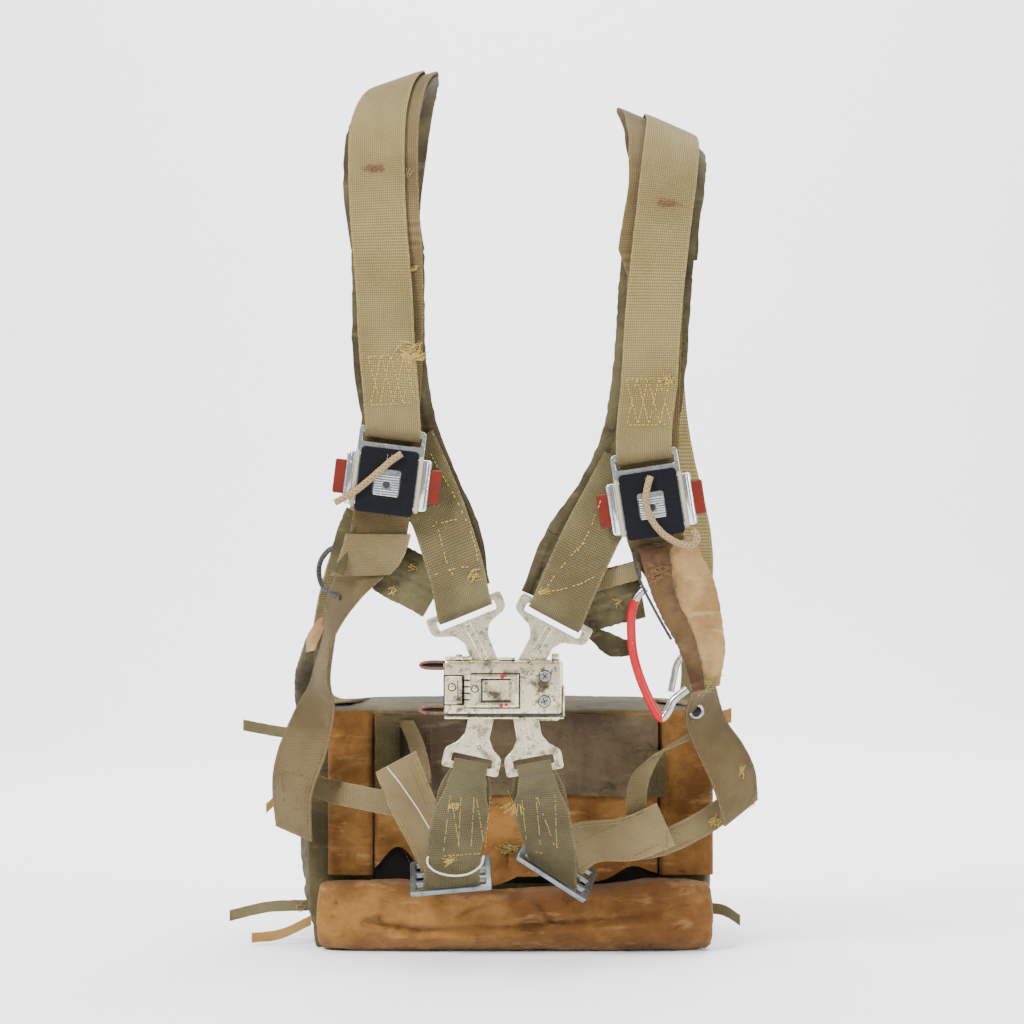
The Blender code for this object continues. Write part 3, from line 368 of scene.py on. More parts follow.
class Finish(Enum):
    """The finishes of this harness; each value builds its material."""

    RISER = WovenFinish("riser_webbing", (0.223, 0.171, 0.068), (0.163, 0.122, 0.045), (0.253, 0.196, 0.079), 0.0032, 0.0006, 0.8)
    WEB = WovenFinish("harness_webbing", (0.150, 0.121, 0.055), (0.089, 0.070, 0.029), (0.189, 0.149, 0.069), 0.0028, 0.0006, 0.75)
    HIP = WovenFinish("hip_webbing", (0.134, 0.096, 0.040), (0.081, 0.055, 0.021), (0.161, 0.113, 0.047), 0.0030, 0.0004, 0.6)
    TAB = WovenFinish("tab_webbing", (0.138, 0.113, 0.052), (0.076, 0.061, 0.025), (0.174, 0.136, 0.061), 0.0030, 0.0006, 0.75)
    STRAP = WovenFinish("leg_webbing", (0.203, 0.153, 0.075), (0.150, 0.109, 0.051), (0.257, 0.191, 0.093), 0.0022, 0.0002, 0.35)
    BAND = WovenFinish("band_webbing", (0.186, 0.142, 0.067), (0.129, 0.095, 0.041), (0.231, 0.174, 0.084), 0.0028, 0.0004, 0.6)
    TIE = WovenFinish("tie_tape", (0.153, 0.127, 0.064), (0.100, 0.082, 0.037), (0.215, 0.170, 0.085), 0.0022, 0.0003, 0.5)
    TAN_TIE = WovenFinish("tan_tie_tape", (0.353, 0.207, 0.070), (0.247, 0.131, 0.037), (0.389, 0.251, 0.102), 0.0022, 0.0003, 0.4)
    PADDING = CanvasFinish("olive_padding", (0.076, 0.063, 0.030), (0.036, 0.028, 0.013), (0.114, 0.093, 0.046))
    QUILTING = CanvasFinish("quilted_cloth", (0.084, 0.071, 0.033), (0.032, 0.025, 0.011), (0.126, 0.102, 0.049))
    CANVAS = CanvasFinish("ochre_canvas", (0.212, 0.101, 0.025), (0.098, 0.040, 0.009), (0.29, 0.165, 0.065))
    OLIVE = CanvasFinish("olive_canvas", (0.075, 0.061, 0.026), (0.037, 0.029, 0.012), (0.111, 0.088, 0.041))
    FLAP = CanvasFinish(
        "brown_flap", (0.090, 0.063, 0.031), (0.044, 0.028, 0.013), (0.145, 0.105, 0.054), 0.001, 0.00012, 0.55, 0.35
    )
    POCKET = CanvasFinish(
        "pocket_cloth", (0.285, 0.184, 0.068), (0.156, 0.078, 0.024), (0.389, 0.275, 0.120), 0.0011, 0.00014, 0.6, 0.3
    )
    GATHERED = CanvasFinish(
        "gathered_cloth", (0.083, 0.045, 0.016), (0.037, 0.015, 0.004), (0.111, 0.070, 0.032), 0.0011, 0.00014, 0.7, 0.2
    )
    # Near-black cloth used only as painted shade inside the cover's openings.
    LINING = CanvasFinish("dark_lining", (0.006, 0.005, 0.004), (0.003, 0.002, 0.002), (0.015, 0.011, 0.007))
    LUG = MetalFinish("lug_plate", (0.66, 0.60, 0.41), (0.12, 0.095, 0.058), 0.75, 0.2, 0.5)
    LOCK = MetalFinish("lock_plate", (0.74, 0.66, 0.42), (0.05, 0.038, 0.022), 0.95, 0.2, 0.5)
    CHROME = MetalFinish("release_chrome", (0.68, 0.69, 0.66), (0.16, 0.15, 0.12), 0.4, 0.08, 0.28)
    STEEL = MetalFinish("adaptor_steel", (0.22, 0.25, 0.27), (0.07, 0.065, 0.06), 0.5, 0.3, 0.55)
    STEEL_PALE = MetalFinish("pale_steel", (0.38, 0.38, 0.36), (0.12, 0.105, 0.085), 0.5, 0.15, 0.42)
    PIN = MetalFinish("rusty_pin", (0.17, 0.09, 0.06), (0.06, 0.03, 0.018), 0.8, 0.3, 0.6)
    # Near-black paint of the release covers and lock pins, also used as painted shade in the hip eyelet's hole.
    SHELL = PaintFinish("release_shell", (0.006, 0.006, 0.008), (0.060, 0.056, 0.051), 0.7, 0.22)
    BUTTON = PaintFinish("button_red", (0.123, 0.012, 0.005), (0.056, 0.011, 0.005), 0.62, 0.38)
    GRIP = PaintFinish("grip_red", (0.419, 0.005, 0.011), (0.500, 0.205, 0.191), 0.66, 0.18)
    CORD = BraidFinish("release_cord", (0.298, 0.198, 0.084), (0.178, 0.102, 0.036))
    THREAD = BraidFinish("yellow_thread", (0.46, 0.33, 0.075), (0.30, 0.19, 0.035))
    MOSS_THREAD = BraidFinish("moss_thread", (0.24, 0.20, 0.05), (0.13, 0.10, 0.02))
    CREAM = PaintFinish("cream_plate", (0.346, 0.309, 0.199), (0.223, 0.195, 0.128), 0.62, 0.35)
    RED_DOT = PaintFinish("red_dot", (0.335, 0.009, 0.009), (0.223, 0.012, 0.012), 0.7, 0.4)
    BROWN_THREAD = BraidFinish("brown_thread", (0.17, 0.08, 0.025), (0.09, 0.04, 0.012))
    # Dark brown paint used only as painted shade inside the lug grooves.
    METAL_GRIME = PaintFinish("metal_grime", (0.16, 0.13, 0.085), (0.07, 0.055, 0.035), 0.5, 0.5)
    # Near-black braid of the thin cables, also used as painted shade for the lock's dark lines, the screw slots and the
    # slider's hole.
    DARK_CABLE = BraidFinish("thin_cable", (0.025, 0.022, 0.020), (0.010, 0.009, 0.008))
    PALE = PaintFinish("pale_edge", (0.604, 0.580, 0.532), (0.403, 0.371, 0.322), 0.7, 0.4)


class Wardrobe:
    """Keeps each finish's material once it is made."""

    def __init__(self) -> None:
        """Starts with no material."""
        self.made: dict[Finish, bpy.types.Material] = {}

    def get(self, finish: Finish) -> bpy.types.Material:
        """The finish's material, made at its first use."""
        if finish not in self.made:
            self.made[finish] = finish.value.make()
        return self.made[finish]


WARDROBE = Wardrobe()


def dress(
    name: str, bm: bmesh.types.BMesh, finish: Finish, slot: str, nodes: Sequence[str] = (), body: str = BODY,
    smooth_angle: float = 60.0,
) -> bpy.types.Object:
    """Makes the piece of a bmesh whose points are in the row frame.

    Args:
        name: The piece's name.
        bm: Its shape, freed here.
        finish: Its finish.
        slot: The record's material slot; not used.
        nodes: The CAD nodes that it stands for.
        body: The body that it rides on.
        smooth_angle: Edges sharper than this stay sharp.

    Returns:
        The piece.
    """
    if bm.calc_volume(signed=True) < 0:
        bmesh.ops.reverse_faces(bm, faces=bm.faces)
    mesh = bpy.data.meshes.new(name)
    bm.to_mesh(mesh)
    bm.free()
    mesh.materials.append(WARDROBE.get(finish))
    mesh.shade_smooth()
    mesh.set_sharp_from_angle(angle=math.radians(smooth_angle))
    piece = bpy.data.objects.new(name, mesh)
    bpy.context.scene.collection.objects.link(piece)
    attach(piece, body)
    if nodes:
        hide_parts(*nodes)
    LOG.info("%s: %d faces", name, len(mesh.polygons))
    return piece


# Lines and webbing


@dataclass(frozen=True)
class Frame:
    """A place on a webbing's line and its way across."""

    centre: Vector
    side: Vector


def blend_rows(rows: Sequence[Sequence[float]], per_span: int) -> list[list[float]]:
    """Numbers on a smooth line through the rows, the rows themselves included."""
    out = []
    last = len(rows) - 1
    for i in range(last):
        p0, p1 = rows[max(i - 1, 0)], rows[i]
        p2, p3 = rows[i + 1], rows[min(i + 2, last)]
        for k in range(per_span):
            t = k / per_span
            out.append([
                0.5 * (2 * b + (c - a) * t + (2 * a - 5 * b + 4 * c - d) * t * t
                       + (3 * b - a - 3 * c + d) * t ** 3)
                for a, b, c, d in zip(p0, p1, p2, p3)
            ])
    out.append(list(rows[last]))
    return out


def frames_through(stations: Sequence[Row], per_span: int = 3) -> list[Frame]:
    """Frames on a smooth line through the stations, finer than the solids' own."""
    frames = []
    for x, y, z, tilt, turn in blend_rows(stations, per_span * FINE):
        lean, swing = math.radians(tilt), math.radians(turn)
        side = Vector((math.cos(lean) * math.cos(swing), math.cos(lean) * math.sin(swing), math.sin(lean)))
        frames.append(Frame(Vector((x, y, z)), side))
    return frames


def faces_of(frames: Sequence[Frame]) -> list[Vector]:
    """The outward face direction at each frame."""
    out = []
    for i, spot in enumerate(frames):
        before = frames[max(i - 1, 0)].centre
        after = frames[min(i + 1, len(frames) - 1)].centre
        out.append(spot.side.cross((after - before).normalized()).normalized())
    return out


def ramp(share: float, knots: Knots) -> float:
    """The value at a share of the length, from (share, value) knots or one number."""
    if not isinstance(knots, (list, tuple)):
        return knots
    if share <= knots[0][0]:
        return knots[0][1]
    for (s0, v0), (s1, v1) in zip(knots, knots[1:]):
        if share <= s1:
            t = (share - s0) / (s1 - s0)
            return v0 + (v1 - v0) * t * t * (3 - 2 * t)
    return knots[-1][1]


def moved(frames: Sequence[Frame], shift: Knots = 0.0, lift: Knots = 0.0) -> list[Frame]:
    """The frames moved across by shift and outwards by lift."""
    last = len(frames) - 1
    return [
        Frame(f.centre + f.side * ramp(i / last, shift) + n * ramp(i / last, lift), f.side)
        for i, (f, n) in enumerate(zip(frames, faces_of(frames)))
    ]


def straight_out(frames: Sequence[Frame], end: int, beside: int) -> Vector:
    """The direction past an end frame, square to the bar there."""
    out = frames[end].centre - frames[beside].centre
    out -= frames[end].side * out.dot(frames[end].side)
    return out.normalized()


def turn_about(spot: Frame, start: Vector, past: Vector, radius: float) -> list[Frame]:
    """Frames of the half turn that a webbing makes about a bar."""
    steps = 6 * FINE
    out = []
    for k in range(steps + 1):
        angle = math.pi * k / steps
        out.append(Frame(spot.centre + (start * math.cos(angle) + past * math.sin(angle)) * radius, spot.side))
    return out


def round_bar(frames: Sequence[Frame], radius: float, apart: float, back: int, close_in: int) -> list[Frame]:
    """Frames of a webbing that comes down behind a bar at the first frame and goes up in front.

    Args:
        frames: The middle line, from the bar up.
        radius: The turn's radius.
        apart: Each layer's distance from the middle line, once closed in.
        back: How many frames the back layer runs.
        close_in: Over how many frames the layers close in.

    Returns:
        The whole path's frames.
    """
    faces = faces_of(frames)
    back, close_in = back * FINE, close_in * FINE

    def away(i: int) -> float:
        return radius + (apart - radius) * min(i / close_in, 1.0)

    path = [Frame(frames[i].centre - faces[i] * away(i), frames[i].side) for i in range(back, 0, -1)]
    path += turn_about(frames[0], -faces[0], straight_out(frames, 0, 1), radius)
    path += [Frame(frames[i].centre + faces[i] * away(i), frames[i].side) for i in range(1, len(frames))]
    return path


def closed_loop(frames: Sequence[Frame], radius: float, apart: float, close_in: int) -> list[Frame]:
    """Frames of a web that goes round a bar at each end, both its ends in the back layer."""
    faces = faces_of(frames)
    last = len(frames) - 1
    close_in *= FINE

    def away(i: int) -> float:
        return radius + (apart - radius) * min(min(i, last - i) / close_in, 1.0)

    path = [Frame(frames[i].centre - faces[i] * away(i), frames[i].side) for i in range(FINE, 0, -1)]
    path += turn_about(frames[0], -faces[0], straight_out(frames, 0, 1), radius)
    path += [Frame(frames[i].centre + faces[i] * away(i), frames[i].side) for i in range(1, last)]
    path += turn_about(frames[last], faces[last], straight_out(frames, last, last - 1), radius)
    path += [Frame(frames[i].centre - faces[i] * away(i), frames[i].side) for i in range(last - 1, 2 * FINE - 1, -1)]
    return path


BothFaces = Callable[[float, float], tuple[Vector, Vector]]


def sheet_mesh(along: int, across: int, both_faces: BothFaces, size: tuple[float, float]) -> bmesh.types.BMesh:
    """A closed sheet in the row frame, with its cloth and place UV maps.

    Args:
        along: Faces along it.
        across: Faces across it.
        both_faces: Gives the outer and inner point in mm, from u along and v across, 0 to 1.
        size: Its length and width in mm, for the cloth's UV map.

    Returns:
        The bmesh.
    """
    bm = bmesh.new()
    bmesh.ops.create_grid(bm, x_segments=along, y_segments=across, size=0.5)
    spot = bm.verts.layers.float_vector.new("spot")
    cloth, place = bm.loops.layers.uv.new("cloth"), bm.loops.layers.uv.new("place")
    for vert in bm.verts:
        vert[spot] = (vert.co.x + 0.5, vert.co.y + 0.5, 0.0)
    outer = list(bm.verts)
    grown = bmesh.ops.extrude_face_region(bm, geom=bm.faces[:])
    inner = [g for g in grown["geom"] if isinstance(g, bmesh.types.BMVert)]
    for verts, which in ((outer, 0), (inner, 1)):
        for vert in verts:
            vert.co = row(both_faces(vert[spot].x, vert[spot].y)[which])
    for face in bm.faces:
        for loop in face.loops:
            u, v = loop.vert[spot].x, loop.vert[spot].y
            loop[cloth].uv = (u * size[0] * MM, v * size[1] * MM)
            loop[place].uv = (u, v)
    bmesh.ops.recalc_face_normals(bm, faces=bm.faces)
    return bm


def run_of(frames: Sequence[Frame]) -> float:
    """The length of the frames' line in mm."""
    return sum((b.centre - a.centre).length for a, b in zip(frames, frames[1:]))


@dataclass
class Strap:
    """A webbing or a pad laid on frames."""

    name: str
    frames: list[Frame]
    finish: Finish
    slot: str
    width: Knots = 44.0
    thickness: Knots = WEB
    across: int = 10
    crown: float = 0.35
    wave: float = 0.35
    fray: float = 0.25
    nodes: tuple[str, ...] = ()
    fill: float | None = None
    channels: int = 0
    faces: list[Vector] = field(init=False)

    def __post_init__(self) -> None:
        """Works out the face directions once."""
        self.faces = faces_of(self.frames)
        if not self.nodes:
            self.nodes = (self.name.removesuffix("_webbing"),)

    def surface(self, share: float, across: float, lift: float = 0.0) -> Vector:
        """A point on the outer face in mm.

        Args:
            share: How far along the frames, 0 to 1.
            across: How far across, -1 to 1.
            lift: How far above the face.

        Returns:
            The point.
        """
        last = len(self.frames) - 1
        at = max(0.0, min(share, 1.0)) * last
        i = min(int(at), last - 1)
        t = at - i
        here, there = self.frames[i], self.frames[i + 1]
        half = ramp(share, self.width) / 2
        thick = ramp(share, self.thickness) / 2
        centre = here.centre.lerp(there.centre, t) + here.side.lerp(there.side, t) * (across * half)
        return centre + self.faces[i].lerp(self.faces[i + 1], t) * (thick + lift)

    def build(self) -> bpy.types.Object:
        """The piece, with selvedges, a slight wave and an uneven edge."""
        last = len(self.frames) - 1
        length = run_of(self.frames)
        wide = max(ramp(i / 20, self.width) for i in range(21))

        def both_faces(u: float, v: float) -> tuple[Vector, Vector]:
            i = round(u * last)
            spot = self.frames[i]
            across = 2 * v - 1
            half = ramp(u, self.width) / 2
            here = spot.centre + spot.side * (across * half)
            ripple = self.wave * rough(here, 26.0)
            if self.fill:
                ripple = self.wave * (rough(here, 16.0) - 0.9 * ridged(here, (11, 11, 7)))
            fray = self.fray * rough(spot.centre + Vector((across * 50.0, 0, 0)), 3.0) * abs(across) ** 12
            centre = spot.centre + spot.side * (across * (half + fray))
            thick = ramp(u, self.thickness) / 2 * (1 - self.crown * across ** (4 if self.fill else 6))
            if self.channels:
                thick *= 0.6 + 0.4 * abs(math.sin(math.pi * self.channels * v)) ** 0.6
            ease = min(1.0, 6 * (1 - abs(across))) * 0.5 + 0.5
            return (
                centre + self.faces[i] * (thick + ripple * 0.3 * ease),
                centre - self.faces[i] * (thick - ripple * 0.1),
            )

        bm = sheet_mesh(last, self.across, both_faces, (length, wide))
        piece = dress(self.name, bm, self.finish, self.slot, self.nodes)
        if self.fill:
            return piece
        return piece


def sweep(bm: bmesh.types.BMesh, points: Sequence[Vector], radius: Callable[[float], float], sides: int = 8) -> None:
    """Adds a round rod along points in the row frame, with its length and girth as the cloth's UV map.

    Args:
        bm: The bmesh to add to.
        points: The middle line.
        radius: The radius in metres at a share of the length.
        sides: How many sides it has.
    """
    cloth = bm.loops.layers.uv.get("cloth") or bm.loops.layers.uv.new("cloth")
    last = len(points) - 1
    along = [0.0]
    for a, b in zip(points, points[1:]):
        along.append(along[-1] + (b - a).length)
    normal = (points[1] - points[0]).orthogonal().normalized()
    normals = []
    for i in range(last + 1):
        tangent = (points[min(i + 1, last)] - points[max(i - 1, 0)]).normalized()
        normal = (normal - tangent * normal.dot(tangent)).normalized()
        normals.append((normal, tangent.cross(normal)))
    verts = bmesh.ops.create_grid(bm, x_segments=last, y_segments=sides, size=0.5)["verts"]
    spots = {v: (round((v.co.x + 0.5) * last), round((v.co.y + 0.5) * sides)) for v in verts}
    girth = 2 * math.pi * radius(0.5)
    for face in {f for v in verts for f in v.link_faces}:
        for loop in face.loops:
            i, k = spots[loop.vert]
            loop[cloth].uv = (along[i], girth * k / sides)
    for vert, (i, k) in spots.items():
        angle = 2 * math.pi * (k % sides) / sides
        vert.co = points[i] + (normals[i][0] * math.cos(angle) + normals[i][1] * math.sin(angle)) * radius(i / last)
    bmesh.ops.remove_doubles(bm, verts=verts, dist=1e-7)
    open_edges = [e for e in {e for v in verts if v.is_valid for e in v.link_edges} if e.is_boundary]
    bmesh.ops.holes_fill(bm, edges=open_edges, sides=0)


def smooth_line(points: Sequence[Point], per_span: int = 8) -> list[Vector]:
    """A smooth line in the row frame through points in mm."""
    return [row(Vector(p)) for p in blend_rows(points, per_span)]


def rod_piece(
    name: str, points: Sequence[Point], radius: float, finish: Finish, slot: str, nodes: Sequence[str] = (),
    sides: int = 16, body: str = BODY, taper: Knots = 1.0,
) -> bpy.types.Object:
    """A rod or cord through points in mm."""
    bm = bmesh.new()
    sweep(bm, smooth_line(points), lambda share: radius * MM * ramp(share, taper), sides)
    bmesh.ops.recalc_face_normals(bm, faces=bm.faces)
    return dress(name, bm, finish, slot, nodes, body)


@dataclass
class Stitching:
    """Thread stitches along lines in mm, as one joined mesh."""

    name: str
    lines: Sequence[Sequence[Vector]]
    slot: str
    finish: Finish = Finish.THREAD
    stitch: float = 3.4
    radius: float = 0.42
    missing: float = 0.12
    seed: int = 1
    body: str = BODY

    def build(self) -> bpy.types.Object:
        """Lays each line's stitches, a few of them missing."""
        luck = random.Random(self.seed)
        bm = bmesh.new()
        for line in self.lines:
            for p, q in zip(line, line[1:]):
                count = max(1, round((q - p).length / self.stitch))
                step = (q - p) / count
                for k in range(count):
                    if luck.random() < self.missing:
                        continue
                    jog = Vector((luck.uniform(-1, 1), luck.uniform(-0.4, 0.4), luck.uniform(-1, 1))) * 0.18
                    middle = row(p + step * (k + 0.5) + jog)
                    spin = (step + jog).to_track_quat("X", "Z").to_matrix().to_4x4()
                    reach = step.length * 0.46 * luck.uniform(0.85, 1.05)
                    size = Matrix.Diagonal((reach * MM, self.radius * MM, self.radius * MM, 1.0))
                    bmesh.ops.create_icosphere(
                        bm, subdivisions=1, radius=1.0, matrix=Matrix.Translation(middle) @ spin @ size
                    )
        return dress(self.name, bm, self.finish, self.slot, body=self.body)


@dataclass
class Tuft:
    """A tuft of frayed threads that lies on a surface."""

    name: str
    centre: Point
    spread: tuple[float, float]
    strands: int
    finish: Finish
    slot: str
    lean: float = 0.0
    radius: float = 0.3
    seed: int = 3

    def build(self) -> bpy.types.Object:
        """Lays the threads across each other."""
        luck = random.Random(self.seed)
        bm = bmesh.new()
        for _ in range(self.strands):
            angle = math.radians(self.lean) + luck.gauss(0.0, 0.45)
            length = self.spread[0] * luck.uniform(0.5, 1.1)
            off = Vector((luck.gauss(0, 0.16) * self.spread[0], 0, luck.gauss(0, 0.3) * self.spread[1]))
            bend = luck.uniform(-0.4, 0.4)
            spots = []
            for k in range(6):
                t = k / 5 - 0.5
                x = length * t
                z = bend * self.spread[1] * (1 - 4 * t * t)
                y = -0.5 - luck.uniform(0.0, 1.6) * (1 - abs(2 * t))
                spots.append(row(Vector(self.centre) + off + Vector((
                    x * math.cos(angle) - z * math.sin(angle), y, x * math.sin(angle) + z * math.cos(angle)
                ))))
            sweep(bm, spots, lambda share: self.radius * MM * (1 - 0.5 * share), 4)
        bmesh.ops.recalc_face_normals(bm, faces=bm.faces)
        return dress(self.name, bm, self.finish, self.slot)


# Cloth forms that are filled


@dataclass(frozen=True)
class Fold:
    """A soft trough from one point of the front to another, in mm."""

    x0: float
    z0: float
    x1: float
    z1: float
    depth: float
    spread: float

    def dent(self, x: float, z: float) -> float:
        """How deep the trough is at a point."""
        start, line = Vector((self.x0, self.z0)), Vector((self.x1 - self.x0, self.z1 - self.z0))
        share = max(0.0, min(1.0, (Vector((x, z)) - start).dot(line) / line.length_squared))
        wander = 1.6 * math.sin(share * 9 + self.x0)
        away = (Vector((x, z)) - start - line * share).length + wander * 0.4
        ends = 1 - 0.6 * abs(2 * share - 1) ** 4
        return self.depth * ends * (math.exp(-(away / self.spread) ** 2) - 0.35 * math.exp(-((away - 2 * self.spread) / self.spread) ** 2))


def filled(cuts: tuple[int, int, int], shape: Callable[[float, float, float], Vector]) -> bmesh.types.BMesh:
    """A filled form: a cube cut into a grid, each point moved to shape(x, y, z) of its -1 to 1 place, in mm."""
    bm = bmesh.new()
    bmesh.ops.create_cube(bm, size=2.0)
    for axis, count in enumerate(cuts):
        lengthwise = [e for e in bm.edges if abs((e.verts[0].co - e.verts[1].co).normalized()[axis]) > 0.99]
        if count:
            bmesh.ops.subdivide_edges(bm, edges=lengthwise, cuts=count, use_grid_fill=True)
    for vert in bm.verts:
        vert.co = row(shape(*vert.co))
    bmesh.ops.recalc_face_normals(bm, faces=bm.faces)
    return bm


def settled(piece: bpy.types.Object) -> None:
    """Applies a piece's modifiers to its mesh."""
    graph = bpy.context.evaluated_depsgraph_get()
    made = bpy.data.meshes.new_from_object(piece.evaluated_get(graph))
    piece.modifiers.clear()
    old = piece.data
    piece.data = made
    bpy.data.meshes.remove(old)
    piece.data.shade_smooth()


def puff(piece: bpy.types.Object, voxel: float, cap: Callable[[Vector], float], pressure: float = 4.0) -> None:
    """Swells a filled piece by cloth pressure.

    Args:
        piece: The piece, whose mesh is changed.
        voxel: The remesh's size in mm.
        cap: The most that a point, in mm of the maker's frame, may move.
        pressure: The cloth's inner pressure.
    """
    change = piece.modifiers.new("Voxels", "REMESH")
    change.mode = "VOXEL"
    change.voxel_size = voxel * MM
    settled(piece)
    rest = [v.co.copy() for v in piece.data.vertices]
    cloth = piece.modifiers.new("Cloth", "CLOTH")
    cloth.settings.use_pressure = True
    cloth.settings.uniform_pressure_force = pressure
    cloth.settings.effector_weights.gravity = 0.0
    cloth.settings.quality = 4
    scene = bpy.context.scene
    for step in range(1, 21):
        scene.frame_set(step)
    settled(piece)
    scene.frame_set(1)
    for vert, home in zip(piece.data.vertices, rest):
        most = cap(home / MM + ORIGIN) * MM
        away = vert.co - home
        if away.length > most:
            vert.co = home + away.normalized() * most
    change = piece.modifiers.new("Finer", "SUBSURF")
    change.levels = change.render_levels = 1
    settled(piece)


def crumple(piece: bpy.types.Object, push: Callable[[Vector, Vector], float]) -> None:
    """Moves each point of a piece along its normal.

    Args:
        piece: The piece.
        push: Gives the move in mm from the point and its normal, in mm of the maker's frame.
    """
    normals = [v.normal.copy() for v in piece.data.vertices]
    for vert, normal in zip(piece.data.vertices, normals):
        vert.co += normal * (push(vert.co / MM + ORIGIN, normal) * MM)
    piece.data.update()


def ridged(point: Vector, size: Point, sharp: float = 3.0) -> float:
    """Crease-like noise, 0 to 1, with lumps stretched by axis."""
    value = noise.fractal(Vector((point.x / size[0], point.y / size[1], point.z / size[2])), 1.0, 2.0, 3)
    return (1 - min(1.0, abs(value) * 1.6)) ** sharp


@dataclass
class Pack:
    """The laced seat pack: a stuffed olive container with ochre canvas on its front."""

    left: float = -163.0
    right: float = 170.0
    front: float = 42.0
    back: float = 204.0
    top: float = 192.0
    band_front: float = 4.0
    band_top: float = 54.0
    seat_gap: float = 0.3
    band_folds: tuple[Fold, ...] = (
        Fold(-108, 24, -69, 18, 6.0, 3.0),
        Fold(-70, 18, 3, 21, 6.4, 3.0),
        Fold(2, 21, 62, 25, 6.4, 3.0),
        Fold(60, 25, 124, 31, 5.6, 3.0),
        Fold(-15, 44, -38, 26, 4.6, 2.6),
        Fold(23, 47, 40, 23, 4.8, 2.6),
        Fold(118, 50, 122, 28, 2.4, 4.0),
        Fold(-140, 44, -118, 12, 2.0, 4.0),
        Fold(60, 46, 92, 34, 2.0, 3.4),
        Fold(-92, 46, -66, 36, 2.2, 3.4),
        Fold(138, 34, 160, 14, 2.2, 4.0),
    )
    middle_folds: tuple[Fold, ...] = (
        Fold(-103, 101, -62, 101, 1.8, 2.4),
        Fold(90, 110, 124, 118, 1.6, 3.0),
        Fold(-98, 84, -70, 96, 1.6, 3.0),
        Fold(60, 84, 100, 96, 1.8, 3.0),
        Fold(0, 96, 40, 88, 1.4, 3.0),
    )

    def side(self, sign: float, y: float, z: float) -> float:
        """The X of the side wall, with y and z from -1 to 1."""
        shrink = 1 - 0.045 * z * z - 0.02 * y * y
        fold = 2.0 * math.sin(4.5 * math.pi * (y + 1)) * (1 - z ** 4) if y > -0.5 else 0.0
        middle, half = (self.left + self.right) / 2, (self.right - self.left) / 2
        return middle + sign * (half * shrink + fold)

    def body(self) -> bpy.types.Object:
        """The olive container, swollen a little and creased."""
        middle, half = (self.front + self.back) / 2, (self.back - self.front) / 2

        def shape(x: float, y: float, z: float) -> Vector:
            share = (x + 1) / 2
            px = self.side(-1, y, z) * (1 - share) + self.side(1, y, z) * share
            back = 1 - (0.10 * z * z + 0.06 * x * x) if y > 0 else 1.0
            dome = 5.0 * (1 - x ** 4) * (1 - y ** 4) if z > 0.99 else 0.0
            return Vector((px, middle + half * y * back, self.top / 2 * (1 + z) + dome))

        piece = dress("pack_body_cloth", filled((22, 18, 14), shape), Finish.OLIVE, "olive_cloth", ("pack_body",))

        def cap(p: Vector) -> float:
            if p.y < self.front + 6 or p.z > self.top - 8 or p.z < 6:
                return 0.4
            return 3.0

        puff(piece, 5.0, cap)

        def push(p: Vector, n: Vector) -> float:
            quiet = min(1.0, max(0.0, (p.y - self.front - 2) / 12)) * (1 - 0.8 * max(0.0, n.z)) * min(1.0, p.z / 10)
            upright = ridged(p, (30, 22, 70))
            level = ridged(p + Vector((50, 0, 0)), (60, 60, 18))
            return quiet * (-2.2 * upright - 1.8 * level + 1.0 * rough(p, 34.0))

        crumple(piece, push)
        for vert in piece.data.vertices:
            vert.co.z = max(vert.co.z, 0.0)
            vert.co.y = max(vert.co.y, (self.front - ORIGIN.y) * MM)
        return piece

    def band_rise(self, x: float) -> float:
        """How far the band's upper edge stands over its usual height."""
        return 3.6 - 9.0 * swell(x, 5, 75) + 1.4 * math.sin(x * 0.06)

    def band(self) -> bpy.types.Object:
        """The ochre bottom flap, folded up over the front like a full lip."""
        back = self.front - self.seat_gap

        def shape(x: float, y: float, z: float) -> Vector:
            px = 10.0 + 159.0 * x * (1 - 0.012 * z ** 4)
            pz = self.band_top / 2 * (1 + z)
            if z > 0.0:
                pz += self.band_rise(px) * z * (1 - x ** 6)
            if y > 0:
                return Vector((px, back, pz))
            belly = 1 - 0.55 * max(-z, 0.0) ** 3 - 0.45 * max(z, 0.0) ** 3 - 0.35 * x ** 8
            return Vector((px, back - 7.7 - (back - 7.7 - self.band_front) * belly, pz))

        piece = dress("cover_band_canvas", filled((50, 6, 12), shape), Finish.CANVAS, "canvas", ("cover_band",))
        puff(piece, 4.0, lambda p: 2.4 if p.y < back - 8 and p.z > 6 else 0.3)

        def push(p: Vector, n: Vector) -> float:
            if n.y > 0.3:
                return 0.0
            facing = max(0.0, -n.y)
            edge = min(1.0, (169.0 - abs(p.x - 10.0)) / 16)
            dents = sum(fold.dent(p.x, p.z) for fold in self.band_folds)
            small = 1.0 * ridged(p, (46, 30, 12)) + 0.7 * ridged(p + Vector((0, 0, 60)), (14, 20, 30))
            return -dents * facing * edge - small * (0.4 + 0.6 * facing) + 0.7 * rough(p, 22.0)

        crumple(piece, push)
        for vert in piece.data.vertices:
            vert.co.z = max(vert.co.z, 0.0)
        return piece

    def cover(
        self, name: str, left: float, right: float, thickness: float, low: Callable[[float], float], top: float,
        bulge: float, folds: Sequence[Fold] = (), open_low: float = 0.0,
    ) -> bpy.types.Object:
        """A canvas cover over the front, its side edges turned back to the pack.

        Args:
            name: The CAD node that it stands for.
            left: Its left edge.
            right: Its right edge.
            thickness: How far it stands off the pack.
            low: The height of its lower edge at an x.
            top: Its upper edge.
            bulge: How far its middle stands out.
            folds: Its troughs.
            open_low: How far the lower edge gapes.

        Returns:
            The piece.
        """
        back = self.front - self.seat_gap
        wide = right - left

